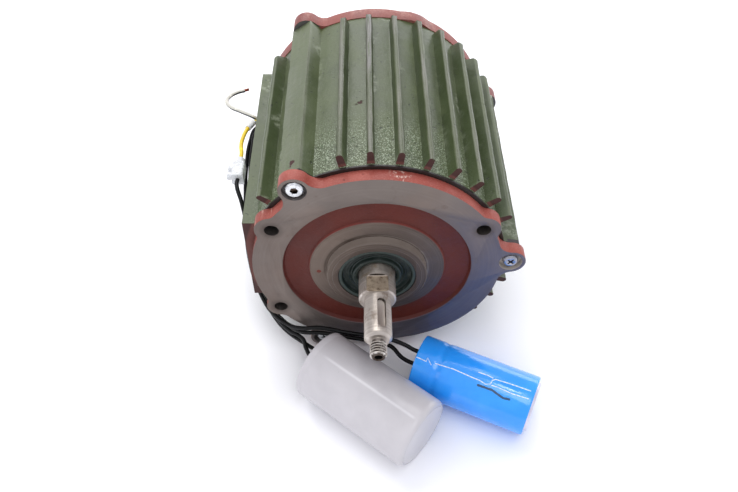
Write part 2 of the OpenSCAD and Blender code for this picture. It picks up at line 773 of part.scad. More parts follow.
module shaft() {
    brg_front = front_brg_y;
    brg_end = front_brg_y + front_brg_w;
    collar_end = brg_end + shaft_collar_len;
    tail = rear_brg_back + small_chamfer / 2;
    neck = front_brg_bore_r - front_brg_bore_r / 20;
    color([0.72, 0.71, 0.70]) difference() {
        spun(concat(
            [[0, thread_front + centre_hole_depth],
                [centre_hole_r, thread_front + centre_hole_depth - centre_sink],
             [centre_hole_r, thread_front + centre_sink], [centre_hole_r + centre_sink, thread_front],
             [thread_r - thread_depth / 2, thread_front]],
            thread_profile(),
            [[thread_r - thread_depth, shaft_front], [shaft_r - shoulder_chamfer, shaft_front],
             [shaft_r, shaft_front + shoulder_chamfer], [shaft_r, -journal_reach],
             [journal_r - small_chamfer, -journal_reach], [journal_r, -journal_reach + small_chamfer],
             [journal_r, seal_back], [neck, seal_back + lip_t / 2],
             [neck, brg_front], [front_brg_bore_r - press_gap, brg_front],
             [front_brg_bore_r - press_gap, brg_end], [shaft_collar_r, brg_end],
                 [shaft_collar_r, collar_end],
             [core_seat_r, collar_end], [core_seat_r, stack_end + cage_ring_t],
             [governor_seat_r, stack_end + cage_ring_t], [governor_seat_r, rear_brg_y - press_gap],
             [rear_brg_bore_r - press_gap, rear_brg_y - press_gap],
                 [rear_brg_bore_r - press_gap, tail - small_chamfer],
             [rear_brg_bore_r - small_chamfer, tail], [0, tail]]
        ));
        for (s = [1, -1]) translate([-journal_r, -journal_reach - cut,
            s > 0 ? flats_w / 2 : -flats_w / 2 - journal_r])
            cube([2 * journal_r, flats_len + cut, journal_r]);
        rotate([0, -(90 - key_turn), 0]) translate([shaft_r - key_depth, -journal_reach - key_back_gap, 0])
            rotate([0, 90, 0]) linear_extrude(key_depth + cut) {
                translate([-key_w / 2, -key_len + key_w / 2]) square([key_w, key_len - key_w]);
                for (y = [-key_w / 2, -key_len + key_w / 2]) translate([0, y]) circle(key_w / 2);
            }
    }
}

module rotor_core() color([0.5, 0.5, 0.52]) along(stack_y, stack_len) difference() {
    circle(rotor_r);
    circle(core_seat_r + press_gap);
    for (i = [0:bars - 1]) rotate(360 * i / bars) translate([bar_circle_r, 0]) circle(bar_r);
}

module rotor_cage() color([0.78, 0.79, 0.80]) {
    for (y = [stack_y - cage_ring_t, stack_end]) ring(cage_inner_r, rotor_r - 2 * air_gap, y, cage_ring_t);
    along(stack_y - cage_ring_t / 2, stack_len + cage_ring_t)
        for (i = [0:bars - 1]) rotate(360 * i / bars) translate([bar_circle_r, 0])
            circle(bar_r - press_gap);
}

// Outer race, with its ball groove
module outer_race(bore_r, r, y, w) {
    pitch = (bore_r + r) / 2;
    color([0.75, 0.76, 0.78]) difference() {
        ring(pitch + ball_r * (1 - race_land), r, y, w);
        rotate([90, 0, 0]) rotate_extrude() translate([pitch, -y - w / 2]) circle(ball_r + race_slack);
    }
}

module inner_race(bore_r, r, y, w) {
    pitch = (bore_r + r) / 2;
    color([0.75, 0.76, 0.78]) difference() {
        ring(bore_r, pitch - ball_r * (1 - race_land), y, w);
        rotate([90, 0, 0]) rotate_extrude() translate([pitch, -y - w / 2]) circle(ball_r + race_slack);
    }
}

module balls(bore_r, r, y, w, count) color([0.8, 0.8, 0.82])
    turned([for (i = [0:count - 1]) 360 * i / count]) translate([(bore_r + r) / 2, y + w / 2, 0])
        sphere(ball_r);

// Ring between the races with a pocket round each ball
module ball_cage(bore_r, r, y, w, count) {
    pitch = (bore_r + r) / 2;
    side = ball_r * 1.25;
    color([0.72, 0.62, 0.35]) difference() {
        ring(pitch - cage_t / 2, pitch + cage_t / 2, y + w / 2 - side, 2 * side);
        turned([for (i = [0:count - 1]) 360 * i / count])
            translate([pitch - cage_t, y + w / 2, 0]) rotate([0, 90, 0])
                cylinder(h = 2 * cage_t, r = ball_r + race_slack);
    }
}

module front_bearing_outer_race() outer_race(front_brg_bore_r, front_brg_r, front_brg_y, front_brg_w);
module front_bearing_inner_race() inner_race(front_brg_bore_r, front_brg_r, front_brg_y,
    front_brg_w - press_gap);
module front_bearing_balls() balls(front_brg_bore_r, front_brg_r, front_brg_y, front_brg_w, front_balls);
module front_bearing_cage() ball_cage(front_brg_bore_r, front_brg_r, front_brg_y, front_brg_w, front_balls);
module rear_bearing_outer_race() outer_race(rear_brg_bore_r, rear_brg_r, rear_brg_y, rear_brg_w);
module rear_bearing_inner_race() inner_race(rear_brg_bore_r, rear_brg_r, rear_brg_y, rear_brg_w);
module rear_bearing_balls() balls(rear_brg_bore_r, rear_brg_r, rear_brg_y, rear_brg_w, rear_balls);
module rear_bearing_cage() ball_cage(rear_brg_bore_r, rear_brg_r, rear_brg_y, rear_brg_w, rear_balls);

module preload_washer() {
    inner = rear_brg_r - 2 * ball_r / 2;
    y0 = rear_brg_back + press_gap;
    rise = rear_gap - washer_t - 2 * press_gap;
    color([0.7, 0.7, 0.72]) spun([
        [rear_brg_r, y0], [rear_brg_r, y0 + washer_t], [inner, y0 + rise + washer_t], [inner, y0 + rise]
    ]);
}

// Two lugs and the bores of the pivots stand on the base plate
module governor_base() color([0.62, 0.62, 0.64]) difference() {
    union() {
        ring(governor_seat_r + press_gap, base_r, base_y, base_t);
        ring(governor_seat_r + press_gap, base_sleeve_r, base_y, base_sleeve_t);
        for (t = [0, 180], s = [1, -1]) rotate([0, t, 0])
            translate([pivot_r - lug_w / 2, base_y, s * lug_in / 2 + (s < 0 ? -lug_t : 0)])
            cube([lug_w, pivot_y + lug_top - base_y, lug_t]);
    }
    for (t = [0, 180]) rotate([0, t, 0]) translate([pivot_r, pivot_y, 0])
        cylinder(h = lug_in + 2 * lug_t + 2 * cut, r = pin_r + press_gap, center = true);
}

module governor_pivot_pins() color([0.8, 0.8, 0.82]) for (t = [0, 180])
    rotate([0, t, 0]) translate([pivot_r, pivot_y, 0])
        cylinder(h = lug_in + 2 * lug_t, r = pin_r, center = true);

// Bell crank: a finger that works the spool and a curved mass outside the lugs
module governor_weight() {
    dir = unit(finger_tip - [pivot_r, pivot_y]);
    side = [-dir[1], dir[0]] * finger_t / 2;
    outer = weight_r[0] + finger_w / 4;
    difference() {
        union() {
            translate([0, 0, -finger_w / 2]) linear_extrude(finger_w) {
                polygon([
                    finger_tip + side, [pivot_r, pivot_y] + side, [pivot_r, pivot_y] - side,
                        finger_tip - side
                ]);
                translate(finger_tip) circle(finger_tip_r);
                translate([pivot_r, pivot_y]) circle(weight_hub_r);
                translate([pivot_r, pivot_y - finger_t]) square([outer - pivot_r, 2 * finger_t]);
            }
            intersection() {
                ring(weight_r[0], weight_r[1], pivot_y + finger_t - weight_len, weight_len);
                translate([0, pivot_y + finger_t, 0]) rotate([90, 0, 0]) linear_extrude(weight_len)
                    polygon([
                    [0, 0], polar(2 * weight_r[1], -weight_half_angle),
                        polar(2 * weight_r[1], weight_half_angle)
                ]);
            }
        }
        translate([pivot_r, pivot_y, 0]) cylinder(h = 2 * finger_w, r = pin_r + run_gap, center = true);
    }
}

module governor_weight_a() color([0.55, 0.55, 0.58]) governor_weight();
module governor_weight_b() color([0.55, 0.55, 0.58]) rotate([0, 180, 0]) governor_weight();

module governor_spool() {
    groove_y = spool_y + spool_flange_t;
    disc_y = groove_y + spool_groove_w;
    bore = governor_seat_r + run_gap;
    color([0.16, 0.15, 0.15]) spun([
        [bore, spool_y], [spool_flange_r, spool_y], [spool_flange_r, groove_y], [spool_sleeve_r, groove_y],
        [spool_sleeve_r, disc_y], [spool_disc_r, disc_y], [spool_disc_r, disc_y + spool_disc_t],
        [bore, disc_y + spool_disc_t]
    ]);
}

// The arm rests against the spool's rear disc
arm_y = spool_y + spool_flange_t + spool_groove_w + spool_disc_t + free_gap;
plate_y = frame_back - plate_boss - plate_t - press_gap;
arm_pivot_y = arm_y + arm_t + arm_hub_r;

module switch_plate() {
    lug_y = arm_pivot_y - 2 * arm_pin_r;
    lug_x = arm_w / 2 + free_gap;
    color([0.45, 0.28, 0.16]) difference() {
        union() {
            along(plate_y, plate_t) intersection() {
                difference() {
                    circle(plate_r[1]);
                    circle(plate_r[0]);
                }
                polygon([
                    [0, 0], polar(2 * plate_r[1], 90 + plate_half_angle), polar(2 * plate_r[1], 90),
                    polar(2 * plate_r[1], 90 - plate_half_angle)
                ]);
            }
            for (s = [1, -1]) translate([s > 0 ? lug_x : -lug_x - arm_lug_t, lug_y,
                arm_pivot_z - arm_hub_r])
                cube([arm_lug_t, plate_y - lug_y + plate_t / 2, 2 * arm_hub_r]);
        }
        translate([0, arm_pivot_y, arm_pivot_z]) rotate([0, 90, 0])
            cylinder(h = 2 * arm_w, r = arm_pin_r + press_gap, center = true);
        along(plate_y - cut, plate_t + 2 * cut) translate([0, contact_z + contact_r])
            circle(stud_r + press_gap);
        turned([for (s = [1, -1]) 90 + s * plate_screw_angle])
            along(plate_y - cut, plate_t + 2 * cut) translate([plate_screw_circle_r, 0])
                circle(plate_screw_r + run_gap);
    }
}

module switch_plate_screws() color([0.8, 0.8, 0.82])
    turned([for (s = [1, -1]) 90 + s * plate_screw_angle]) translate([plate_screw_circle_r, plate_y, 0])
        spun([
        [0, -plate_head_h], [plate_head_r - head_edge, -plate_head_h],
            [plate_head_r, -plate_head_h + head_edge],
        [plate_head_r, -press_gap], [plate_screw_r, -press_gap], [plate_screw_r, plate_t - press_gap],
        [0, plate_t - press_gap]
    ]);

module contact_arm() color([0.75, 0.6, 0.3]) difference() {
    union() {
        translate([-arm_w / 2, arm_y, arm_foot_z]) cube([arm_w, arm_t, arm_pivot_z - arm_foot_z]);
        translate([0, arm_pivot_y, arm_pivot_z]) rotate([0, 90, 0])
            cylinder(h = arm_w, r = arm_hub_r, center = true);
        translate([-arm_w / 2, arm_y, arm_pivot_z - arm_hub_r])
            cube([arm_w, arm_pivot_y - arm_y, 2 * arm_hub_r]);
        along(arm_y, arm_t + contact_t) translate([0, contact_z]) circle(contact_r);
    }
    translate([0, arm_pivot_y, arm_pivot_z]) rotate([0, 90, 0])
        cylinder(h = 2 * arm_w, r = arm_pin_r + run_gap, center = true);
}

module contact_arm_pin() color([0.8, 0.8, 0.82]) translate([0, arm_pivot_y, arm_pivot_z]) rotate([0, 90, 0])
    cylinder(h = arm_w + 2 * free_gap + 2 * arm_lug_t, r = arm_pin_r, center = true);

module fixed_contact() {
    tip_y = arm_y + arm_t + contact_t + free_gap;
    color([0.85, 0.7, 0.4]) {
        along(tip_y, contact_t) translate([0, contact_z]) circle(contact_r);
        along(tip_y + contact_t / 2, plate_y + plate_t - tip_y - contact_t / 2)
            translate([0, contact_z + contact_r]) circle(stud_r);
    }
}

// A capacitor drawn along local X from its lead end, laid on the ground
module laid(at, turn, r) translate([at[0], at[1], ground_z + r]) rotate([0, 0, turn]) children();
module turned_x(pts) rotate([0, 90, 0]) rotate_extrude() polygon(pts);

module run_capacitor_case() {
    inner = run_cap_r - potting_r_gap;
    color([0.74, 0.74, 0.73]) laid(run_cap_at, run_cap_turn, run_cap_r) turned_x([
        [0, potting_depth], [inner, potting_depth], [inner, 0], [run_cap_r - small_chamfer, 0],
        [run_cap_r, small_chamfer], [run_cap_r, run_cap_len - cap_edge],
        [run_cap_r - cap_edge * 0.3, run_cap_len - cap_edge * 0.3], [run_cap_r - cap_edge, run_cap_len],
        [0, run_cap_len]
    ]);
}

// Leads enter these plates, which are drawn as far as their faces
module run_capacitor_potting() color([0.25, 0.25, 0.26]) laid(run_cap_at, run_cap_turn, run_cap_r)
    turned_x([
    [0, 0], [run_cap_r - potting_r_gap - press_gap, 0],
    [run_cap_r - potting_r_gap - press_gap, potting_depth - press_gap], [0, potting_depth - press_gap]
]);

// Outline of the can and, grown by t, of the sleeve on it
function can_side(r, lead_end, far_end) = let (g = groove_at_share * start_cap_len) [
    [r, lead_end], [r, g - groove_w], [r - groove_depth, g - groove_w / 3],
    [r - groove_depth, g + groove_w / 3], [r, g + groove_w], [r, far_end]
];

module start_capacitor_can() {
    r = start_cap_r - film_t - can_gap;
    color([0.8, 0.8, 0.82]) laid(start_cap_at, start_cap_turn, start_cap_r) turned_x(concat(
        [[0, header_t], [r - film_t, header_t], [r - film_t, film_t + can_gap]],
        can_side(r, film_t + can_gap, start_cap_len - film_t - can_gap),
        [[0, start_cap_len - film_t - can_gap]]
    ));
}

module start_capacitor_sleeve() {
    r = start_cap_r - film_t;
    lip = start_cap_r - film_lip;
    side = can_side(r, film_t, start_cap_len - film_t);
    color([0.12, 0.42, 0.85]) laid(start_cap_at, start_cap_turn, start_cap_r) turned_x(concat(
        [[lip, 0]], can_side(start_cap_r, 0, start_cap_len),
            [[lip, start_cap_len], [lip, start_cap_len - film_t]],
        [for (i = [len(side) - 1:-1:0]) side[i]], [[lip, film_t]]
    ));
}

module start_capacitor_header() {
    r = start_cap_r - 2 * film_t - 2 * can_gap;
    color([0.12, 0.12, 0.12]) laid(start_cap_at, start_cap_turn, start_cap_r) turned_x([
        [0, 0], [start_cap_r - film_lip - can_gap, 0], [start_cap_r - film_lip - can_gap, film_t + can_gap],
        [r, film_t + can_gap], [r, header_t - press_gap], [0, header_t - press_gap]
    ]);
}

module run_lead_low() color([0.05, 0.05, 0.05]) lead(run_low_path, lead_d / 2);
module run_lead_high() color([0.05, 0.05, 0.05]) lead(run_high_path, lead_d / 2);
module start_lead_low() color([0.05, 0.05, 0.05]) lead(start_low_path, lead_d / 2);
module start_lead_high() color([0.05, 0.05, 0.05]) lead(start_high_path, lead_d / 2);
module white_lead() color([0.9, 0.9, 0.88]) lead(white_path, lead_d / 2);
module yellow_lead() color([0.9, 0.75, 0.1]) lead(yellow_path, lead_d / 2);

// Clear sleeve on the straight stretch after the yellow lead leaves the frame
module yellow_lead_sleeve() {
    a = yellow_path[2];
    b = yellow_path[3];
    d = unit(b - a);
    color([0.85, 0.9, 0.85, 0.5]) translate(a + d * (norm(b - a) - sleeve_len) / 2)
        rotate([0, acos(d[2]), atan2(d[1], d[0])]) difference() {
            cylinder(h = sleeve_len, r = sleeve_r[1]);
            translate([0, 0, -cut]) cylinder(h = sleeve_len + 2 * cut, r = sleeve_r[0]);
        }
}

module terminal_block_body() {
    body_y = block_y[0];
    screw_y = [body_y + block_body_len / 4, body_y + block_body_len * 3 / 4];
    color([0.9, 0.9, 0.88, 0.6]) translate([block_x, 0, block_z]) difference() {
        union() {
            along(body_y, block_body_len) round_rect(block_w, block_h, block_corner);
            along(body_y, block_y[1] - body_y) circle(collar_r);
            for (y = screw_y) translate([0, y, 0]) rotate([0, -90, 0])
                cylinder(h = tower_rise, r = tower_r);
        }
        along(body_y + lead_d / 2, block_y[1] - body_y - lead_d) circle(tube_outer_r + press_gap);
        for (y = screw_y) translate([-tube_outer_r, y, 0]) rotate([0, -90, 0])
            cylinder(h = tower_rise, r = block_screw_r + run_gap);
    }
}

module terminal_block_tube() color([0.8, 0.65, 0.3]) translate([block_x, 0, block_z])
    ring(tube_bore_r, tube_outer_r, block_y[0] + lead_d / 2 + press_gap,
         block_y[1] - block_y[0] - lead_d - 2 * press_gap);

module terminal_block_screws() {
    body_y = block_y[0];
    color([0.8, 0.8, 0.8]) for (y = [body_y + block_body_len / 4, body_y + block_body_len * 3 / 4])
        translate([block_x - tube_outer_r - press_gap, y, block_z]) rotate([0, -90, 0])
        cylinder(h = block_screw_len, r = block_screw_r);
}

stator_frame();
front_shield();
rear_shield();
front_socket_screw();
front_cross_screws();
rear_shield_screws();
shaft_seal();
seal_garter_spring();
stator_core();
main_winding();
start_winding();
shaft();
rotor_core();
rotor_cage();
front_bearing_outer_race();
front_bearing_inner_race();
front_bearing_balls();
front_bearing_cage();
rear_bearing_outer_race();
rear_bearing_inner_race();
rear_bearing_balls();
rear_bearing_cage();
preload_washer();
governor_base();
governor_pivot_pins();
governor_weight_a();
governor_weight_b();
governor_spool();
switch_plate();
switch_plate_screws();
contact_arm();
contact_arm_pin();
fixed_contact();
run_capacitor_case();
run_capacitor_potting();
start_capacitor_can();
start_capacitor_sleeve();
start_capacitor_header();
run_lead_low();
run_lead_high();
start_lead_low();
start_lead_high();
white_lead();
yellow_lead();
yellow_lead_sleeve();
terminal_block_body();
terminal_block_tube();
terminal_block_screws();
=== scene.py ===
import bpy
import math
from contextlib import contextmanager
from functools import partial
from mathutils import Matrix, Vector


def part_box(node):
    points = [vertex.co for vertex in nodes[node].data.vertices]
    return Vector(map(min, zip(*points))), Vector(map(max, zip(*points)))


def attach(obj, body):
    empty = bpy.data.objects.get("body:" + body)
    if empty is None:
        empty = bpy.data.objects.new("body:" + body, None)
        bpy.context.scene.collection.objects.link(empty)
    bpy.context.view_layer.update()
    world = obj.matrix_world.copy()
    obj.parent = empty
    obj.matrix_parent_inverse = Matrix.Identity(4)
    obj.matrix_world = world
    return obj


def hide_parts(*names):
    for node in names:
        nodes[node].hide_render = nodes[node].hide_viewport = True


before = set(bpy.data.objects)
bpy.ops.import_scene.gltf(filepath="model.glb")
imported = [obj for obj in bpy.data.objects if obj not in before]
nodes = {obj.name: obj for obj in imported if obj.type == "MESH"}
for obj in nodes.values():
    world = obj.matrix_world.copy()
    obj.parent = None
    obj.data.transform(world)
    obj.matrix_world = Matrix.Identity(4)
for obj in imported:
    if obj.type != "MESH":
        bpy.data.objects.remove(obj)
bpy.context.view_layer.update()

# The studio: a pale floor under the motor, a wide soft light behind and over it, a second at the left
# front, a low one far behind that gives the paint its sheen, a narrow one for crisp gloss, and the
# camera looking down on the flange.
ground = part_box("run_capacitor_case")[0].z
scene = bpy.context.scene
scene.view_settings.view_transform = "Standard"
lens = bpy.data.cameras.new("camera")
lens.sensor_width = 36.0
lens.lens = 36.459
lens.clip_start = 0.01
camera = bpy.data.objects.new("camera", lens)
camera.location = (-0.00698, -0.28678, 0.35072)
camera.rotation_euler = (math.radians(41.07), 0.0, math.radians(-0.436))
scene.collection.objects.link(camera)
scene.camera = camera


def tone(red, green, blue):
    """A colour given 0 to 255, as the shader wants it."""
    lin = [c / 3294.6 if c <= 10 else ((c / 255 + 0.055) / 1.055) ** 2.4 for c in (red, green, blue)]
    return (*lin, 1.0)


def fresh(name, rough=0.5, metal=0.0):
    """A new finish, still plain, with its shader and the place on the piece that effects read."""
    finish = bpy.data.materials.new(name)
    finish.use_nodes = True
    shader = finish.node_tree.nodes["Principled BSDF"]
    shader.inputs["Roughness"].default_value = rough
    shader.inputs["Metallic"].default_value = metal
    return finish, shader, finish.node_tree.nodes.new("ShaderNodeTexCoord").outputs["Object"]


def put(kind, sockets, **settings):
    """Adds a node to the finish that its first joined socket is in, and gives its outputs."""
    joined = [value for value in sockets.values() if isinstance(value, bpy.types.NodeSocket)]
    tree = joined[0].id_data
    new = tree.nodes.new(kind)
    for key, value in settings.items():
        setattr(new, key, value)
    for key, value in sockets.items():
        if value in joined:
            tree.links.new(value, new.inputs[key])
        else:
            new.inputs[key].default_value = value
    return new.outputs


def blend(mask, below, above):
    """Lays one tone over another where the mask is 1. A tone may be three numbers, 0 to 255."""
    below, above = (tone(*c) if isinstance(c, tuple) and len(c) == 3 else c for c in (below, above))
    return put("ShaderNodeMix", {0: mask, 6: below, 7: above}, data_type="RGBA")[2]


def noise(where, scale, seed=0.0, detail=3.0, rough=0.6):
    """Even noise through the piece, scale in grains to the metre."""
    return put("ShaderNodeTexNoise",
               {"Vector": where, "W": seed, "Scale": scale, "Detail": detail, "Roughness": rough},
               noise_dimensions="4D")["Fac"]


floor_paint, shader, where = fresh("studio_floor", rough=0.9)
mottle = blend(noise(where, 6.0, rough=0.55), (250, 250, 252), (252, 252, 254))
floor_paint.node_tree.links.new(mottle, shader.inputs["Base Color"])
bpy.ops.object.select_all(action="DESELECT")
bpy.ops.mesh.primitive_plane_add(size=8.0, location=(0.0, 0.5, ground - 0.0002))
floor = bpy.context.active_object
floor.name = "studio_floor"
floor.data.materials.append(floor_paint)

world = bpy.data.worlds.new("studio_air")
world.use_nodes = True
air = world.node_tree.nodes["Background"].inputs
air["Color"].default_value = (0.92, 0.93, 1.0, 1.0)
air["Strength"].default_value = 0.9
scene.world = world
for name, place, aim, width, height, power, colour in (
    ("light_back", (-0.35, 0.95, 1.35), (0.0, 0.03, 0.0), 1.3, 1.3, 18.0, (1.0, 0.99, 0.97)),
    ("light_far", (0.8, 2.1, 0.5), (0.0, 0.05, 0.0), 3.0, 0.8, 19.0, (0.99, 0.98, 1.0)),
    ("light_left", (-1.2, -0.55, 0.8), (0.0, 0.0, 0.0), 0.9, 0.9, 1.6, (1.0, 0.96, 0.92)),
    ("light_front", (0.12, -0.5, 1.15), (0.0, -0.02, 0.0), 0.5, 0.5, 2.6, (1.0, 1.0, 1.0)),
    ("light_strip", (0.1, -0.1, 1.3), (0.0, 0.0, 0.0), 0.12, 0.12, 0.7, (1.0, 1.0, 1.0)),
):
    lamp = bpy.data.lights.new(name, "AREA")
    lamp.shape = "RECTANGLE"
    lamp.size = width
    lamp.size_y = height
    lamp.energy = power
    lamp.color = colour
    holder = bpy.data.objects.new(name, lamp)
    holder.location = place
    holder.rotation_euler = (Vector(aim) - Vector(place)).to_track_quat("-Z", "Y").to_euler()
    scene.collection.objects.link(holder)

# The capacitor leads: four single black wires with stranded copper inside soft plastic. Two run from
# the stator to the grey capacitor, two to the blue one, one of them by way of the terminal block.
# Their ends are crimped or moulded into what they reach.
lead_d = 0.0028


def metres(*points):
    """Points given in mm, as the CAD source has them."""
    return [tuple(round(c / 1000, 6) for c in point) for point in points]


routes = {
    "run_lead_low": metres(
        (-62.2, 117, 7), (-82.5, 117, 5.5), (-84, 112, -4), (-85.5, 100, -24), (-86, 86, -42),
        (-85.5, 68, -57), (-82.5, 48, -67), (-76, 29, -72.5), (-68.5, 15.5, -73.5),
        (-59.5, 4.5, -73), (-50, -4, -71.5), (-42.5, -10, -70.5), (-36.5, -14.7, -70),
        (-31.1, -19, -70)),
    "run_lead_high": metres(
        (-62.2, 121.5, 7), (-83, 121.5, 5.5), (-86.6, 116, -3), (-89.2, 104, -20), (-90, 89.5, -38),
        (-89.6, 72, -52.5), (-86.4, 52.5, -62), (-79.2, 32, -67), (-68.8, 15, -68.5),
        (-57.5, 2, -68.3), (-52, -2.2, -66.8), (-48.6, -5.5, -67.3), (-46.8, -11, -68.5),
        (-43.5, -17.4, -69), (-35.2, -24.1, -69)),
    "start_lead_low": metres(
        (-62.2, 126, 7), (-83.5, 126, 5.5), (-88.5, 120.5, -2), (-92, 108, -17),
        (-93.2, 93.5, -33.5), (-92.8, 77, -47.5), (-89.8, 58, -57), (-82.4, 36.5, -62.5),
        (-71.2, 18.5, -64.4), (-57, 3.5, -65), (-49, -2.8, -62), (-38, -4.5, -60.3),
        (-21, -7.5, -60.6), (-5, -10, -62), (9, -12.8, -64), (16.5, -21.2, -65), (21.4, -25, -64.5),
        (25.9, -27.1, -64.5)),
    "start_lead_high": metres(
        (-90.5, 68.5, 10), (-90.5, 63.5, 10), (-86.8, 53, 4), (-84.8, 46.5, -8), (-85, 40, -30),
        (-82.5, 32.5, -47), (-77, 21.5, -56), (-69.5, 10.5, -58.5), (-57.5, 1, -59.5),
        (-50.5, -2.8, -57.3), (-37, -4.4, -54.8), (-21, -8, -54.8), (-5, -10.5, -55.6),
        (10.2, -12.8, -57.2), (19, -16, -58.6), (24.4, -18.7, -60), (28.8, -20.8, -60)),
}


def ramp(value, low, high, start=0.0, end=1.0):
    """Maps a value from low..high to start..end, smoothly."""
    return put("ShaderNodeMapRange",
               {"Value": value, "From Min": low, "From Max": high, "To Min": start, "To Max": end},
               interpolation_type="SMOOTHSTEP")["Result"]


def dress(shader, colour, rough, height, depth):
    """Feeds a finish its colour, its roughness and a height, whose depth is in metres."""
    relief = put("ShaderNodeBump", {"Height": height, "Distance": depth, "Strength": 1.0})["Normal"]
    for key, value in (("Base Color", colour), ("Roughness", rough), ("Normal", relief)):
        shader.id_data.links.new(value, shader.inputs[key])


def insulation(name, colour, rough, seed):
    """Soft plastic over strands: a slight wave along the wire, and smudges from handling."""
    finish, shader, where = fresh(name, rough)
    smudge = noise(where, 260.0, seed, rough=0.55)
    pale = tuple(min(1.0, c * 1.7 + 0.004) for c in colour[:3]) + (1.0,)
    dress(shader, blend(ramp(smudge, 0.5, 0.8), colour, pale),
          ramp(smudge, 0.3, 0.8, rough - 0.08, rough + 0.2), noise(where, 900.0, seed + 2, rough=0.55),
          0.00012)
    return finish


def wire(name, points, finish, thick=lead_d):
    """One wire as a smooth curve through its points, with closed ends."""
    line = bpy.data.curves.new(name, "CURVE")
    line.dimensions = "3D"
    line.resolution_u = 8
    line.bevel_depth = thick / 2
    line.bevel_resolution = 4
    line.use_fill_caps = True
    spline = line.splines.new("BEZIER")
    spline.bezier_points.add(len(points) - 1)
    for at, point in zip(points, spline.bezier_points):
        point.co = at
        point.handle_left_type = point.handle_right_type = "AUTO"
    line.materials.append(finish)
    piece = bpy.data.objects.new(name, line)
    scene.collection.objects.link(piece)
    return piece


black_pvc = insulation("black_insulation_finish", tone(11, 11, 12), 0.34, 1.0)
black_pvc.node_tree.nodes["Principled BSDF"].inputs["Specular IOR Level"].default_value = 0.22
for name, length in (("run_lead_low", 0.2124), ("run_lead_high", 0.2169),
                     ("start_lead_low", 0.2761), ("start_lead_high", 0.209)):
    lead = wire(name + "_wire", routes[name], black_pvc)
    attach(lead, "stator")
    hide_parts(name)

# The white supply lead: a stiff wire, dark along one side, that hooks out of the frame and ends in
# cut bare copper strands.
white_route = metres(
    (-62.2, 134.2, 6), (-83, 134.2, 6.5), (-87.5, 134.8, 9), (-96, 139, 10), (-104, 144.5, 10),
    (-107, 150, 10), (-105.5, 156, 10), (-101, 160.5, 10), (-95.5, 163, 10))


def vector(what, *terms):
    """A sum over places or directions, as a node's outputs."""
    return put("ShaderNodeVectorMath", dict(enumerate(terms)), operation=what)


def measure(what, *terms):
    """One number from places or directions: how far apart, or how far along."""
    return vector(what, *terms)["Value"]


away = partial(measure, "DISTANCE")
toward = partial(measure, "DOT_PRODUCT")
white_pvc = insulation("white_insulation_finish", tone(196, 194, 184), 0.35, 7.0)
shader = white_pvc.node_tree.nodes["Principled BSDF"]
facing = white_pvc.node_tree.nodes.new("ShaderNodeTexCoord").outputs["Normal"]
smudged = shader.inputs["Base Color"].links[0].from_socket
# The lead is darker on the side that faces down and toward the front
dark_lower_side = blend(ramp(toward(facing, (0.1, -0.76, -0.64)), 0.2, 0.4), smudged, (40, 46, 46))
white_pvc.node_tree.links.new(dark_lower_side, shader.inputs["Base Color"])
white_lead = wire("white_lead_wire", white_route, white_pvc)
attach(white_lead, "stator")
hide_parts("white_lead")


def filmed(name, rough, metal, grain, dark, light, gloss, depth, reach=None):
    """A finish with one film of noise, which its two tones, its gloss and its skin follow."""
    finish, shader, where = fresh(name, rough, metal)
    film = noise(where, *grain)
    mask = ramp(film, *reach) if reach else film
    dress(shader, blend(mask, dark, light), ramp(film, 0.3, 0.7, *gloss), film, depth)
    return finish


@contextmanager
def edited():
    """Edit mode with the whole mesh of the active piece selected, and back."""
    bpy.ops.object.mode_set(mode="EDIT")
    bpy.ops.mesh.select_all(action="SELECT")
    yield
    bpy.ops.object.mode_set(mode="OBJECT")


copper_ends = filmed("cut_copper", 0.4, 0.9, (900.0, 5.0, 3.0, 0.55), (150, 74, 44), (112, 52, 40),
                     (0.3, 0.5), 0.00004, (0.4, 0.6))
strand_pitch = 0.00068
bpy.ops.object.select_all(action="DESELECT")
bpy.ops.mesh.primitive_cylinder_add(vertices=12, radius=0.00033, depth=0.0042,
                                    location=(0.0, 0.0, 0.0), rotation=(0.0, math.pi / 2, 0.0))
strand = bpy.context.active_object
bpy.ops.object.transform_apply()
with edited():
    bpy.ops.mesh.bevel(offset=0.00008, segments=2)
    last = (0.0, 0.0)
    for turn in (0.0, 1.05, 2.09, 3.14, 4.19, 5.24):
        place = (strand_pitch * math.cos(turn), strand_pitch * math.sin(turn))
        bpy.ops.mesh.duplicate()
        bpy.ops.transform.translate(value=(0.0, place[0] - last[0], place[1] - last[1]))
        last = place
strand.name = strand.data.name = "white_lead_strands"
heading = Vector(white_route[-1]) - Vector(white_route[-2])
strand.data.transform(Matrix.Translation(Vector(white_route[-1]) + heading.normalized() * 0.0014)
                      @ heading.to_track_quat("X", "Z").to_matrix().to_4x4())
bpy.ops.object.shade_smooth_by_angle(angle=math.radians(40))
strand.data.materials.append(copper_ends)
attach(strand, "stator")
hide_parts("white_lead")

# The frame: one casting in iron, with cooling fins all round, three ribs for the long screws and a
# flat pad for the terminal box. Its edges are soft from the sand mould, and it is painted with
# thick green enamel over red primer, which dust and knocks have worn.
fin_tip_r = 0.086
tube_r = 0.0775
ear_turns = (4.2, 124.2, 244.2)


def only(piece):
    """Leaves this piece alone selected and active."""
    bpy.ops.object.select_all(action="DESELECT")
    piece.select_set(True)
    bpy.context.view_layer.objects.active = piece


def copy_of(name, piece_name, finish):
    """A copy of a CAD solid with its loose triangles joined and its flat faces whole again."""
    piece = bpy.data.objects.new(piece_name, nodes[name].data.copy())
    piece.data.transform(nodes[name].matrix_world)
    scene.collection.objects.link(piece)
    piece.data.materials.clear()
    only(piece)
    bpy.ops.mesh.customdata_custom_splitnormals_clear()
    with edited():
        bpy.ops.mesh.remove_doubles(threshold=0.000002)
        bpy.ops.mesh.dissolve_limited(angle_limit=math.radians(0.6))
    piece.data.materials.append(finish)
    return piece


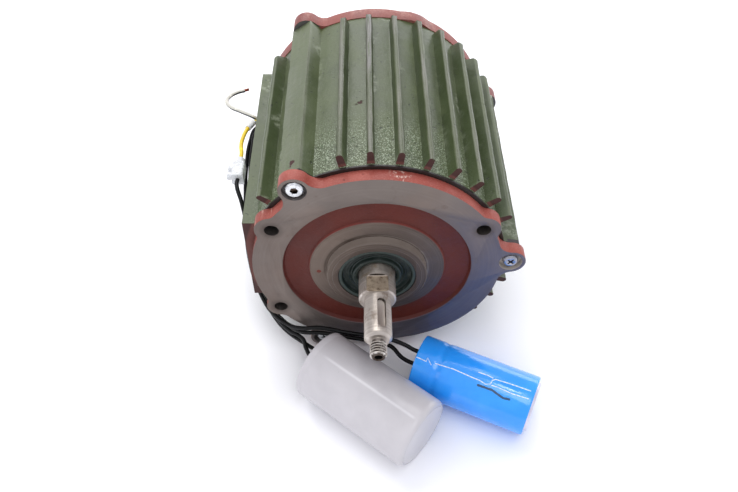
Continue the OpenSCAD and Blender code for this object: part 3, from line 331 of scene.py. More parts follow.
def modify(piece, kind, **settings):
    """Adds a modifier, sets it and applies it."""
    new = piece.modifiers.new("shaping", kind)
    for key, value in settings.items():
        setattr(new, key, value)
    bpy.ops.object.modifier_apply(modifier="shaping")


def soften(piece, outer, inner, segments=2, turn=34.0, skip=None):
    """Rounds a piece's edges: outer ones by one radius, inside corners by another."""
    only(piece)
    mesh = piece.data
    widest = max(outer, inner)
    faces = {}
    for face in mesh.polygons:
        for key in face.edge_keys:
            faces.setdefault(key, []).append(face)
    weight = mesh.attributes.new("bevel_weight_edge", "FLOAT", "EDGE")
    for edge, value in zip(mesh.edges, weight.data):
        sides = faces.get(edge.key, [])
        if len(sides) != 2:
            continue
        one, two = sides
        if one.normal.angle(two.normal) < math.radians(turn):
            continue
        hollow = (two.center - one.center).dot(one.normal) > 0
        middle = (mesh.vertices[edge.vertices[0]].co + mesh.vertices[edge.vertices[1]].co) / 2
        if not (skip and skip(middle)):
            value.value = (inner if hollow else outer) / widest
    modify(piece, "BEVEL", width=widest, segments=segments, limit_method="WEIGHT",
           use_clamp_overlap=True, miter_outer="MITER_ARC")
    bpy.ops.object.shade_smooth_by_angle(angle=math.radians(38))


def chain(what, *terms):
    """One sum over two or more numbers or sockets, from the left."""
    total = terms[0]
    for term in terms[1:]:
        total = put("ShaderNodeMath", {0: total, 1: term}, operation=what)[0]
    return total


plus, minus, times, most, least = (
    partial(chain, what) for what in ("ADD", "SUBTRACT", "MULTIPLY", "MAXIMUM", "MINIMUM"))


def size(value):
    """A number without its sign."""
    return put("ShaderNodeMath", {0: value, 1: 0.0}, operation="ABSOLUTE")[0]


def part(where, axis):
    """How far along X, Y or Z."""
    return put("ShaderNodeSeparateXYZ", {0: where})[axis]


def stretched(where, by):
    """A place or direction, scaled along each axis."""
    return vector("MULTIPLY", where, by)[0]


def normal_of(finish):
    """Which way the piece faces."""
    return finish.node_tree.nodes.new("ShaderNodeTexCoord").outputs["Normal"]


def group(name, inputs, outputs):
    """An empty node group, for an effect that several finishes share."""
    tree = bpy.data.node_groups.new(name, "ShaderNodeTree")
    for key, value in inputs.items():
        kind = "NodeSocketVector" if value is None else "NodeSocketFloat"
        socket = tree.interface.new_socket(key, in_out="INPUT", socket_type=kind)
        if value is not None:
            socket.default_value = value
    for key, kind in outputs.items():
        tree.interface.new_socket(key, in_out="OUTPUT", socket_type="NodeSocket" + kind)
    return tree, tree.nodes.new("NodeGroupInput").outputs, tree.nodes.new("NodeGroupOutput").inputs


def give(gives, **values):
    """Joins a shared effect's results to its outputs."""
    for key, value in values.items():
        value.id_data.links.new(value, gives[key])


def use(effect, **sockets):
    """Places a shared effect in a finish."""
    return put("ShaderNodeGroup", sockets, node_tree=effect)


def layers(colour, *coats):
    """Lays coats over a colour, each a mask and a tone."""
    for mask, coat in coats:
        colour = blend(mask, colour, coat)
    return colour


# Sand-cast skin: fine grain, low lumps, and pits as a mask
cast_skin, given, gives = group("cast_skin", {"Vector": None, "Grain": 1.0},
                                dict.fromkeys(("Height", "Specks", "Pits", "Cloud"), "Float"))
where = given["Vector"]
pits = ramp(noise(where, 420.0, 21.0, 2.0, 0.5), 0.28, 0.36, 1.0, 0.0)
height = plus(times(noise(where, 1300.0, 0.0, 4.0, 0.65), given["Grain"]),
              times(noise(where, 260.0, 4.0, 2.0, 0.5), 1.6))
give(gives, Height=minus(height, times(pits, 0.7)), Pits=pits, Cloud=noise(where, 34.0, 9.0),
     Specks=ramp(noise(where, 1250.0, 15.0), 0.5, 0.62))

# Place round the shaft: radius, angle, distance along it, and a vector that follows them
round_shaft, given, gives = group("round_shaft", {"Vector": None},
                                  {"Radius": "Float", "Along": "Float", "Polar": "Vector"})
parts = put("ShaderNodeSeparateXYZ", {0: given["Vector"]})
flat = put("ShaderNodeCombineXYZ", {"X": parts["X"], "Y": parts["Z"]})[0]
radius = measure("LENGTH", flat)
way = vector("NORMALIZE", flat)[0]
polar = put("ShaderNodeCombineXYZ", {"X": plus(radius, times(part(way, "X"), 0.0004)), "Y": parts["Y"],
                                     "Z": times(part(way, "Y"), 0.0004)})[0]
give(gives, Radius=radius, Along=parts["Y"], Polar=polar)

# Wear on outer edges, broken up, for pieces with rounded edges; on the frame and the shaft the
# lightened edges are also a painted highlight
edge_wear_and_glint, given, gives = group("edge_wear_and_glint", {"Vector": None, "Reach": 0.5}, {"Mask": "Float"})
point = edge_wear_and_glint.nodes.new("ShaderNodeNewGeometry").outputs["Pointiness"]
worn_and_glinting = times(ramp(point, 0.545, 0.62), ramp(noise(given["Vector"], 300.0, 3.0, 4.0, 0.7), 0.4, 0.62))
give(gives, Mask=put("ShaderNodeMath", {0: worn_and_glinting, 1: given["Reach"]}, operation="MULTIPLY",
                     use_clamp=True)[0])

green_enamel, shader, where = fresh("green_enamel", rough=0.4)
skin = use(cast_skin, Vector=where, Grain=0.7)
place = use(round_shaft, Vector=where)
radius, along = place["Radius"], place["Along"]
sides_x, facing = part(where, "X"), normal_of(green_enamel)

# Sandy dust in the valleys and toward the front, less on the fins' flanks
outward = toward(vector("NORMALIZE", stretched(where, (1.0, 0.0, 1.0)))[0], facing)
dusty = times(ramp(along, 0.024, 0.062, 1.0, 0.12), ramp(radius, tube_r, 0.084, 1.0, 0.25),
              plus(0.2, times(ramp(outward, 0.45, 0.8), 0.8)))
sandy = times(ramp(plus(skin["Specks"], times(dusty, 0.4)), 0.45, 1.15), dusty)

# The fins' scraped tips, most of all at the top, and the lone scraped fin there
tips = times(ramp(radius, fin_tip_r - 0.0014, fin_tip_r - 0.0004),
             ramp(toward(where, (0.14, 0.0, 0.99)), 0.062, 0.08, 0.25, 1.0))
streaks = plus(noise(stretched(where, (1.0, 0.07, 1.0)), 260.0, 6.0, 4.0),
               times(noise(where, 900.0, 7.0, 2.0), 0.16))
lone = times(ramp(size(plus(sides_x, 0.0041)), 0.0026, 0.0018), ramp(along, 0.075, 0.09))

# Primer that shows on the fins' front ends, and in chips and a scrape near the left rib
patches = times(ramp(part(facing, "Y"), -0.45, -0.65), ramp(noise(where, 140.0, 8.0), 0.3, 0.34),
                most(ramp(radius, 0.0774, 0.0778), ramp(sides_x, -0.07, -0.0712)),
                ramp(along, 0.03, 0.02))
chips = ramp(noise(where, 75.0, 13.0, 4.0, 0.7), 0.73, 0.75)
ragged = noise(where, 520.0, 14.0, 4.0, 0.7)
for spot, reach in (((-0.0467, 0.0166, 0.0725), 0.0046), ((-0.0475, 0.0139, 0.0719), 0.0036),
                    ((-0.0120, 0.0614, 0.0766), 0.0036), ((-0.0095, 0.0632, 0.0769), 0.0042)):
    edge = plus(away(where, spot), times(ragged, 0.006))
    chips = most(chips, ramp(edge, reach + 0.0004, reach - 0.0002))
scrape = away(stretched(where, (1.0, 0.3, 1.0)), (-0.0409, 0.0266, 0.0687))
primer = most(patches, chips)

# Painted shade as a dark line in the joint under the pad, and a painted shadow beside the right ear
joint_shade = times(ramp(along, 0.0096, 0.0088), ramp(sides_x, -0.0712, -0.0698))
ear_shadow = times(ramp(along, 0.0116, 0.0108), ramp(sides_x, 0.0775, 0.079),
                   ramp(part(where, "Z"), -0.012, -0.008))
colour = layers(
    blend(ramp(skin["Cloud"], 0.35, 0.65), (64, 74, 44), (78, 88, 56)),
    # Painted shade on the fins' flanks, where they face round the shaft rather than out
    (ramp(outward, 0.4, 0.1, 0.0, 0.5), (44, 58, 26)),
    (times(sandy, 0.75), (158, 170, 146)),
    (times(ramp(noise(where, 780.0, 17.0, 2.0), 0.58, 0.66), dusty), (58, 78, 44)),
    (times(skin["Pits"], 0.85), (38, 44, 30)),
    # A painted sheen on the upper face of the left rib
    (ramp(toward(where, (-0.562, 0.0, 0.827)), 0.0838, 0.0852, 0.0, 0.3), (124, 132, 106)),
    (times(tips, ramp(along, 0.03, 0.08, 0.5, 0.35)), (68, 70, 52)),
    (times(tips, ramp(streaks, 0.54, 0.68), 0.28), (140, 134, 132)),
    (times(lone, tips, ramp(streaks, 0.49, 0.57), 0.38), (132, 126, 130)),
    # Lighter fin and rib edges: wear, and a painted highlight along the edges
    (use(edge_wear_and_glint, Vector=where, Reach=0.45)["Mask"], (160, 166, 146)),
    (ramp(plus(scrape, times(ragged, 0.005)), 0.0052, 0.004, 0.0, 0.7), (112, 98, 80)),
    (patches, blend(ramp(radius, 0.0805, 0.0786), (60, 28, 22), (98, 54, 46))),
    (chips, (58, 24, 20)),
    (joint_shade, (26, 20, 17)),
    (ear_shadow, (34, 21, 18)))
relief = times(skin["Height"], plus(0.5, times(dusty, 1.3)))
dress(shader, colour, plus(ramp(skin["Cloud"], 0.3, 0.7, 0.36, 0.48), times(primer, 0.3)),
      minus(relief, primer), 0.00022)

frame_piece = copy_of("stator_frame", "motor_frame", green_enamel)
soften(frame_piece, 0.0008, 0.0015, 3,
       skip=lambda at: at.y < 0.0104 and math.hypot(at.x, at.z) > 0.0778)

# The fins' rear ends run out in a slope, lowest at the tips
slope_y = 0.134
slope_long = 0.008
slope_push = 0.0048
for vertex in frame_piece.data.vertices:
    at = vertex.co
    reach = math.hypot(at.x, at.z)
    turn = math.degrees(math.atan2(at.z, at.x))
    by_rib = min(abs((turn - bay + 180) % 360 - 180) for bay in ear_turns) < 4.5
    by_pad = at.x < -0.0765 and abs(at.z) < 0.034
    if slope_y < at.y < 0.1427 and reach > 0.0772 and not by_rib and not by_pad:
        height = min(1.0, max(0.0, (reach - tube_r) / (fin_tip_r - tube_r)))
        at.y += (at.y - slope_y) / slope_long * slope_push * (1.0 - height ** 3)


def uneven(piece, step, first, last, depth, grain, keep, level=0.5):
    """Cuts a casting across the shaft every step, then lets its skin wander as sand moulds do."""
    only(piece)
    with edited():
        along = first
        while along < last:
            bpy.ops.mesh.select_all(action="SELECT")
            bpy.ops.mesh.bisect(plane_co=(0.0, along, 0.0), plane_no=(0.0, 1.0, 0.0))
            along += step
    skin = piece.vertex_groups.new(name="skin")
    skin.add([v.index for v in piece.data.vertices if keep(v.co)], 1.0, "REPLACE")
    swell = bpy.data.textures.new(piece.name + "_swell", "CLOUDS")
    swell.noise_scale = grain
    swell.noise_depth = 2
    modify(piece, "DISPLACE", texture=swell, texture_coords="LOCAL", strength=depth,
           mid_level=level, vertex_group="skin")
    bpy.ops.object.shade_smooth_by_angle(angle=math.radians(38))


uneven(frame_piece, 0.0052, 0.0125, 0.149, 0.0009, 0.009,
       lambda at: math.hypot(at.x, at.z) > 0.0772 and 0.0085 < at.y < 0.151 and at.x > -0.0782)
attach(frame_piece, "stator")
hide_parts("stator_frame")

# The stator core: thin steel sheets stacked and pressed into the frame, with slots that hold the
# main coils and, nearer the rotor, the finer start coils. Both are enamelled copper wire, laced at the
# ends and dipped in amber varnish.
sheets, shader, where = fresh("electrical_steel", rough=0.45, metal=0.85)
lamination = put("ShaderNodeTexWave",
                 {"Vector": where, "Scale": 320.0, "Distortion": 0.6, "Detail": 2.0},
                 wave_type="BANDS", bands_direction="Y")["Fac"]
bloom = noise(where, 60.0, 91.0, 4.0)
colour = layers(blend(ramp(bloom, 0.4, 0.7), (112, 114, 118), (134, 118, 100)),
                (times(lamination, 0.4), (70, 68, 66)))
dress(shader, colour, ramp(bloom, 0.3, 0.7, 0.35, 0.6), lamination, 0.00012)


def paint(finish, *names):
    """Gives a finish to solids that are shown as they are."""
    for name in names:
        nodes[name].material_slots[0].material = finish


paint(sheets, "stator_core", "rotor_core")


def enamelled(name, strand, colour_low, colour_high, seed):
    """Round wire under varnish: strands run round the shaft at the coil ends."""
    finish, shader, where = fresh(name, rough=0.3, metal=0.35)
    place = use(round_shaft, Vector=where)
    bend = noise(where, 60.0, seed, 2.0, 0.5)
    across = put("ShaderNodeCombineXYZ", {"X": plus(place["Radius"], times(bend, -0.004)),
                                          "Y": plus(place["Along"], times(bend, 0.006))})[0]
    cell = put("ShaderNodeTexVoronoi", {"Vector": across, "Scale": 1.0 / strand, "Randomness": 0.5},
               voronoi_dimensions="2D", feature="F1")["Distance"]
    shader.inputs["Coat Weight"].default_value = 0.6
    # Each strand is lighter on its crown and darker toward its edges: painted shade where the strands
    # meet
    dress(shader, blend(ramp(cell, 0.25, 0.6), colour_high, colour_low),
          ramp(bend, 0.3, 0.7, 0.22, 0.4), minus(1.0, cell), strand * 0.5)
    return finish


main_wire = enamelled("copper_wire_main", 0.0011, (90, 40, 22), (186, 104, 58), 95.0)
start_wire = enamelled("copper_wire_start", 0.0008, (110, 52, 24), (206, 128, 70), 97.0)
varnish = filmed("lacing_cord", 0.5, 0.0, (1400.0, 99.0, 2.0), (120, 92, 58), (186, 158, 112),
                 (0.4, 0.6), 0.0002)
coils = []
for name, piece_name, wire_finish, grain in (("main_winding", "main_coils", main_wire, 0.011),
                                             ("start_winding", "start_coils", start_wire, 0.008)):
    coil = copy_of(name, piece_name, wire_finish)
    with edited():
        bpy.ops.mesh.bisect(plane_co=(0.0, 0.0, 0.0), plane_no=(0.0, 0.0, 1.0))
    for first, last in ((0.0205, 0.0385), (0.1155, 0.1335)):
        uneven(coil, 0.003, first, last, 0.0022, grain,
               lambda at: not 0.0405 < at.y < 0.1135, 0.35)
    coils.append(coil)

# One lacing loop round the main end turns, then its copies, pulled in between the coils.
loops_round = 24
loops = []
for near, far in ((0.0188, 0.0402), (0.1138, 0.1352)):
    middle = (near + far) / 2
    section = [(0.0492, middle), (0.0496, far - 0.002), (0.0515, far + 0.0001),
               (0.06, far + 0.0001), (0.0623, far - 0.002), (0.0629, middle),
               (0.0623, near + 0.001), (0.06, near - 0.0009), (0.0515, near - 0.0009),
               (0.0496, near + 0.001)]
    loop = wire("coil_lacing", [(r, y, 0.0) for r, y in section], varnish, 0.0012)
    loop.data.splines[0].use_cyclic_u = True
    only(loop)
    bpy.ops.object.convert(target="MESH")
    for step in range(loops_round):
        turn = 360.0 / loops_round * step + 4.0 + 2.0 * math.sin(step * 2.3)
        other = bpy.data.objects.new("coil_lacing", loop.data.copy())
        other.data.transform(Matrix.Rotation(math.radians(turn), 4, "Y"))
        scene.collection.objects.link(other)
        loops.append(other)
    bpy.data.objects.remove(loop)


def joined(name, pieces):
    """Makes one piece of several, curves too."""
    only(pieces[0])
    for piece in pieces:
        piece.select_set(True)
    bpy.ops.object.convert(target="MESH")
    bpy.ops.object.join()
    whole = bpy.context.active_object
    whole.name = whole.data.name = name
    return whole


lacing = joined("main_coil_lacing", loops)
bpy.ops.object.shade_smooth_by_angle(angle=math.radians(60))
for piece, name in ((coils[0], "main_winding"), (coils[1], "start_winding"), (lacing, "main_winding")):
    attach(piece, "stator")
    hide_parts(name)

# The rear shield: an iron casting with a dished back, six ribs and a boss over the bearing, painted in
# red oxide primer. Three long screws hold it against the frame.


def red_paint(colour, skin, wear, speck, rubbed):
    """What time did to oxide paint on sand-cast iron: pale specks, dark pits and rubbed edges."""
    return layers(colour, (times(skin["Specks"], 0.22), speck),
                  (times(skin["Pits"], 0.6), (88, 40, 34)), (wear["Mask"], rubbed))


red_oxide, shader, where = fresh("red_oxide_paint", rough=0.55)
skin = use(cast_skin, Vector=where, Grain=0.6)
colour = red_paint(blend(ramp(skin["Cloud"], 0.32, 0.68), (112, 52, 45), (134, 69, 60)), skin,
                   use(edge_wear_and_glint, Vector=where, Reach=0.3), (172, 118, 106), (196, 150, 136))
joint = times(ramp(part(where, "Y"), 0.1519, 0.1517),
              ramp(part(normal_of(red_oxide), "Y"), -0.4, -0.7),
              ramp(use(round_shaft, Vector=where)["Radius"], 0.0797, 0.0801))
colour = blend(joint, colour, blend(skin["Cloud"], (52, 50, 46), (84, 82, 78)))
dress(shader, colour, ramp(skin["Cloud"], 0.3, 0.7, 0.45, 0.65), skin["Height"], 0.00016)

rear_piece = copy_of("rear_shield", "rear_end_shield", red_oxide)
pad_foot_r = 0.07808
pad_rise = 0.00122
for vertex in rear_piece.data.vertices:
    at = vertex.co
    reach = math.hypot(at.x, at.z)
    turn = math.degrees(math.atan2(at.z, at.x))
    if reach > 0.0785 and 61.0 < turn < 78.0:
        ease = min(1.0, max(0.0, min(turn - 62.0, 77.0 - turn) / 4.5))
        at.x *= (pad_foot_r + pad_rise * ease) / reach
        at.z *= (pad_foot_r + pad_rise * ease) / reach
soften(rear_piece, 0.0006, 0.0016, 3)
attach(rear_piece, "stator")
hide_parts("rear_shield")

# The front shield: the same casting work, painted in red oxide, then turned on its face. The band that
# meets the machine and the hub with its raised spigot are bare metal, with paint left in the recess
# between them. It has three ears for the frame's screws and tapped holes in lobes of its own.
recess_r = 0.057
hub_face_r = 0.0403
spigot_r = 0.030
ear_circle_r = 0.0805
hole_circle_r = 0.07
seen_holes = ((hole_circle_r, 29.7), (hole_circle_r, 149.7), (0.0715, 211.0))


def on_circle(reach, turn):
    """A point in the flange's plane, by its distance from the shaft line and its turn in degrees."""
    return (reach * math.cos(math.radians(turn)), 0.0, reach * math.sin(math.radians(turn)))


# Cutter lines that run round the shaft, as a height and a brighter-darker mask
turned_marks, given, gives = group("turned_marks", {"Polar": None, "Pitch": 2600.0},
                                   {"Height": "Float", "Bands": "Float"})
fine = put("ShaderNodeTexNoise",
           {"Vector": given["Polar"], "Scale": given["Pitch"], "Detail": 2.0, "Roughness": 0.6})["Fac"]
broad = put("ShaderNodeTexNoise",
            {"Vector": given["Polar"], "Scale": 700.0, "Detail": 3.0, "Roughness": 0.6})["Fac"]
give(gives, Height=fine, Bands=broad)

front_finish, shader, where = fresh("front_shield_finish", rough=0.5)
shader.inputs["Specular IOR Level"].default_value = 0.3
skin = use(cast_skin, Vector=where, Grain=0.6)
place = use(round_shaft, Vector=where)
radius, along, cloud = place["Radius"], place["Along"], skin["Cloud"]
marks = use(turned_marks, Polar=place["Polar"], Pitch=2600.0)
facing, sides_x = part(normal_of(front_finish), "Y"), part(where, "X")

# Paint, with a second coat in the recess that is thin at its inner lip
recess = times(ramp(radius, recess_r + 0.0002, recess_r), ramp(along, 0.0052, 0.0048))
lip = times(ramp(radius, 0.0415, 0.0408), ramp(cloud, 0.35, 0.6, 0.2, 0.8))
colour = layers(blend(ramp(cloud, 0.32, 0.68), (138, 65, 56), (160, 84, 73)),
                # Painted shade on the paint toward the left of the shield
                (ramp(sides_x, -0.05, -0.074, 0.0, 0.45), (106, 48, 42)))
colour = layers(
    red_paint(colour, skin, use(edge_wear_and_glint, Vector=where, Reach=0.7), (186, 126, 112), (206, 160, 146)),
    (recess, blend(ramp(cloud, 0.3, 0.7), (78, 29, 21), (90, 36, 27))),
    (times(lip, recess), (114, 44, 36)))

# Bare metal on the outer band and the hub, with a painted reflection of the sky, darker and bluer, low
# on the right
hub = ramp(radius, hub_face_r + 0.0006, hub_face_r + 0.0002)
bare = most(times(ramp(along, 0.0007, 0.0003), ramp(facing, -0.35, -0.75)),
            times(hub, ramp(along, 0.0022, 0.0012)))
rings = 0.0
for reach, depth in ((0.0268, 0.5), (0.0297, 0.4)):
    rings = most(rings, ramp(size(minus(radius, reach)), 0.0003, 0.0001, 0.0, depth))
rings = times(rings, ramp(along, 0.003, 0.002))
spigot_wall_light = times(ramp(size(facing), 0.75, 0.5),
             ramp(size(minus(radius, spigot_r + 0.0004)), 0.0012, 0.0009))
foot_highlight = times(ramp(radius, 0.0302, 0.0306), ramp(radius, 0.0316, 0.0311))
shade = times(ramp(radius, 0.0301, 0.0304), ramp(radius, 0.0334, 0.0312),
              ramp(toward(where, (-0.8, 0.0, 0.6)), 0.016, 0.029, 0.0, 0.75))
metal = layers(
    blend(ramp(noise(where, 22.0, 31.0, rough=0.5), 0.38, 0.62), (125, 112, 104), (119, 110, 104)),
    # Painted reflection of the sky, low on the right
    (ramp(toward(where, (0.8, 0.0, -0.6)), -0.02, 0.075), (94, 92, 106)),
    # Painted shade on the bare face toward the left
    (ramp(sides_x, -0.038, -0.072, 0.0, 0.42), (94, 82, 77)),
    # The hub, darker than the band, with painted shade on its right
    (times(hub, 0.7), blend(ramp(sides_x, 0.02, -0.034), (78, 67, 61), (106, 92, 82))),
    (ramp(radius, spigot_r + 0.0004, spigot_r, 0.0, 0.35), (66, 55, 48)),
    # Painted light on the spigot's wall, which is also made less metallic further down
    (times(spigot_wall_light, 0.8), (122, 111, 102)),
    # A painted highlight along the foot of the spigot's wall
    (times(foot_highlight, 0.3), (168, 158, 146)),
    (shade, (58, 46, 38)),
    (times(rings, 0.3), (176, 168, 160)),
    (ramp(marks["Bands"], 0.4, 0.75, 0.0, 0.12), (150, 142, 134)),
    (ramp(noise(where, 70.0, 33.0, 5.0, 0.65), 0.58, 0.72, 0.0, 0.6), (92, 76, 66)),
    *((ramp(away(where, on_circle(*hole)), 0.0082, 0.0044, 0.0, 0.45), (72, 64, 60))
      for hole in seen_holes))

# A red dot left on the hub, and a scuff on the rim
scuff = times(ramp(away(where, (0.0122, 0.004, 0.0742)), 0.008, 0.003),
              ramp(noise(where, 420.0, 35.0, 4.0, 0.7), 0.52, 0.6), minus(1.0, bare))
colour = layers(colour, (bare, metal),
                (ramp(away(where, (-0.0352, 0.0, -0.0014)), 0.0016, 0.0012), (112, 58, 50)),
                (scuff, (206, 176, 164)))
steel = times(bare, ramp(spigot_wall_light, 0.0, 1.0, 0.75, 0.1))
front_finish.node_tree.links.new(steel, shader.inputs["Metallic"])
cast_height = times(skin["Height"], minus(1.0, bare))
cut_height = times(plus(times(marks["Height"], 0.12), rings), bare)
dress(shader, colour, minus(ramp(cloud, 0.3, 0.7, 0.45, 0.65), times(bare, 0.03)),
      plus(cast_height, cut_height), 0.00016)
# The tapped holes' walls are painted near black: painted shade deep in the holes
bore_metal_in_shade = filmed("bored_iron_in_shade", 0.5, 0.6, (260.0, 37.0), (40, 35, 33), (84, 78, 74), (0.4, 0.6),
                    0.00006)
seat_metal, shader, where = fresh("counterbored_iron", rough=0.5, metal=0.15)
film = noise(where, 320.0, 38.0)
# The counterbores are painted light on the right of the shield and in painted shade on the left
seat = blend(ramp(part(where, "X"), 0.0, -0.01), blend(film, (140, 132, 124), (186, 178, 170)),
             blend(film, (70, 66, 64), (112, 106, 104)))
dress(shader, seat, ramp(film, 0.3, 0.7, 0.4, 0.6), film, 0.00005)

front_piece = copy_of("front_shield", "front_end_shield", front_finish)
soften(front_piece, 0.0004, 0.0012, 2)
front_piece.data.materials.append(bore_metal_in_shade)
front_piece.data.materials.append(seat_metal)
bores = [(*on_circle(ear_circle_r, turn), 0.0073, 2) for turn in ear_turns]
bores += [(*on_circle(*hole), 0.0043, 1) for hole in (*seen_holes, (hole_circle_r, 269.7))]
for face in front_piece.data.polygons:
    for x, _, z, radius, slot in bores:
        inside = math.hypot(face.center.x - x, face.center.z - z) < radius
        if inside and 0.0002 < face.center.y < 0.0079:
            face.material_index = slot
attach(front_piece, "stator")
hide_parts("front_shield")

# The shaft seal: dark green rubber moulded round a steel ring, pressed into the spigot. Its face is a
# flat ring, then a trough, then the raised lip that rubs on the shaft, pulled in by a garter spring.
seal_rubber, shader, where = fresh("seal_rubber", rough=0.42)
shader.inputs["Specular IOR Level"].default_value = 0.36
place = use(round_shaft, Vector=where)
marks = use(turned_marks, Polar=place["Polar"], Pitch=1800.0)
ring = times(ramp(place["Radius"], 0.0208, 0.0213), ramp(place["Along"], -0.0050, -0.0054))
dust = noise(where, 160.0, 41.0, 4.0)
colour = layers(blend(ramp(marks["Bands"], 0.4, 0.65), (17, 28, 24), (29, 42, 36)),
                (times(ring, 0.3), (84, 98, 92)),
                # Painted shade in the joint between the seal and its bore, at the seal's outer edge
                (ramp(place["Radius"], 0.0228, 0.0231), (14, 18, 17)),
                (ramp(dust, 0.55, 0.75, 0.0, 0.35), (92, 98, 92)))
dress(shader, colour, ramp(dust, 0.3, 0.7, 0.32, 0.6), marks["Height"], 0.00006)


def turned(name, finish, profile, sides=128):
    """Turns a closed profile, given in mm as radius and distance along the shaft: one ring, drawn out
    and scaled from point to point, then joined to its start."""
    profile = [(r / 1000, y / 1000) for r, y in profile]
    bpy.ops.object.select_all(action="DESELECT")
    bpy.ops.mesh.primitive_circle_add(vertices=sides, radius=profile[0][0],
                                      location=(0.0, profile[0][1], 0.0),
                                      rotation=(math.pi / 2, 0.0, 0.0))
    piece = bpy.context.active_object
    piece.name = piece.data.name = name
    bpy.ops.object.transform_apply()
    with edited():
        for (r0, y0), (r1, y1) in zip(profile, profile[1:]):
            bpy.ops.mesh.extrude_edges_move(TRANSFORM_OT_translate={"value": (0.0, y1 - y0, 0.0)})
            if abs(r1 - r0) > 1e-9:
                bpy.ops.transform.resize(value=(r1 / r0, 1.0, r1 / r0), center_override=(0.0, y1, 0.0))
        bpy.ops.mesh.select_all(action="SELECT")
        bpy.ops.mesh.remove_doubles(threshold=0.000002)
        bpy.ops.mesh.normals_make_consistent(inside=False)
    bpy.ops.object.shade_smooth_by_angle(angle=math.radians(40))
    piece.data.materials.append(finish)
    return piece


seal = turned("shaft_seal_ring", seal_rubber, (
    (23.48, 1.5), (23.48, -5.1), (23.3, -5.4), (22.9, -5.5), (21.8, -5.5), (21.35, -5.4),
    (21.15, -5.1), (21, -3.2), (20.7, -2.7), (20, -2.5), (18.3, -2.6), (17.9, -2.9), (17.6, -3.3),
    (17.1, -3.4), (16.6, -3.1), (16.2, -2.7), (15.6, -2.6), (15.1, -2.9), (14.9, -3.6),
    (14.75, -4.9), (14.4, -5.35), (13.9, -5.5), (12.6, -5.3), (11.9, -4.8), (11.3, -4),
    (11.06, -3.2), (11.06, -2.2), (11.4, -1.4), (12.2, 0.2), (13, 0.6), (14.1, 0.6), (14.1, -1.6),
    (21.3, -1.6), (21.3, 1.5), (23.48, 1.5)))
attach(seal, "stator")
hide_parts("shaft_seal")

# The shaft: turned steel in steps, with two spanner flats, a closed keyway, and a threaded end with a
# centre hole. It is bright where it was wiped and stained brown where the flats hold rust.
end_y = -0.0525
flat_z = 0.009
shaft_steel, shader, where = fresh("turned_steel", rough=0.4, metal=0.85)
place = use(round_shaft, Vector=where)
marks = use(turned_marks, Polar=place["Polar"], Pitch=2200.0)
x, y, z = (part(where, axis) for axis in "XYZ")
stain = noise(stretched(where, (1.0, 0.5, 1.0)), 150.0, 51.0, 5.0, 0.65)
on_flat = times(ramp(size(minus(size(z), flat_z)), 0.00012, 0.00006),
                ramp(place["Along"], -0.0124, -0.0127))
rust = ramp(noise(where, 300.0, 56.0, 5.0, 0.7), 0.44, 0.7)

# The keyway, with a painted highlight on its floor and painted shade on its walls, seen along and
# across its own way out
out, across = toward(where, (0.2924, 0.0, 0.9563)), toward(where, (0.9563, 0.0, -0.2924))
in_key = times(ramp(size(across), 0.0029, 0.0027), ramp(y, -0.0262, -0.0266),
               ramp(y, -0.0473, -0.047), ramp(out, 0.0042, 0.0046))
keyway_wall_shade = times(ramp(noise(where, 300.0, 57.0), 0.35, 0.6, 0.6, 1.0), ramp(y, -0.0405, -0.038, 0.3, 1.0),
              ramp(out, 0.0051, 0.0054), ramp(out, 0.0074, 0.0072))

# The step behind the flats, the thread darker in its grooves, worn edges and the centre hole, with
# painted light and shade
step = times(ramp(size(plus(y, 0.0125)), 0.0006, 0.0003), ramp(size(x), 0.0066, 0.0048))
thread_groove_dark = times(ramp(y, -0.0524, -0.0528), ramp(place["Radius"], 0.00465, 0.00425))
hole = times(ramp(place["Radius"], 0.0023, 0.00215), ramp(y, -0.0560, -0.0566))
colour = layers(
    blend(ramp(marks["Bands"], 0.35, 0.7), (172, 163, 154), (194, 186, 178)),
    (ramp(stain, 0.53, 0.68, 0.0, 0.55), (112, 92, 76)),
    (times(on_flat, 0.9), blend(rust, (164, 149, 128), (94, 76, 56))),
    (times(ramp(y, -0.0122, -0.0118), ramp(noise(where, 160.0, 58.0, 4.0, 0.65), 0.42, 0.6, 0.1, 0.6)),
     (136, 116, 92)),
    # A painted highlight on the keyway's floor
    (times(in_key, ramp(out, 0.0054, 0.0051)), (206, 197, 188)),
    # Painted shade on the keyway's walls, broken up
    (times(in_key, keyway_wall_shade), (34, 27, 23)),
    # A painted shadow line at the step behind the flats
    (times(step, ramp(z, 0.0099, 0.0102)), (46, 38, 32)),
    # A painted highlight on the ridge just below it
    (times(step, ramp(z, 0.0099, 0.0096), ramp(z, 0.0090, 0.0093)), (206, 196, 184)),
    # The thread darker in its grooves
    (times(thread_groove_dark, 0.92), (58, 45, 37)),
    # Edges lightened: wear, and a painted highlight along them
    (use(edge_wear_and_glint, Vector=where, Reach=0.8)["Mask"], (222, 218, 212)),
    # Painted shade: the centre hole near black
    (hole, (18, 15, 13)))
height = plus(times(marks["Height"], ramp(place["Along"], -0.0236, -0.023, 0.12, 0.35)),
              times(on_flat, noise(where, 900.0, 55.0)))
dress(shader, colour, plus(ramp(stain, 0.4, 0.66, 0.36, 0.6), ramp(y, -0.0524, -0.0528, 0.0, 0.05)),
      height, 0.00008)

shaft = copy_of("shaft", "motor_shaft", shaft_steel)
with edited():
    bpy.ops.mesh.bisect(plane_co=(0.0, end_y, 0.0), plane_no=(0.0, -1.0, 0.0), clear_outer=True,
                        use_fill=True)
soften(shaft, 0.0003, 0.0003, 2, 30.0)

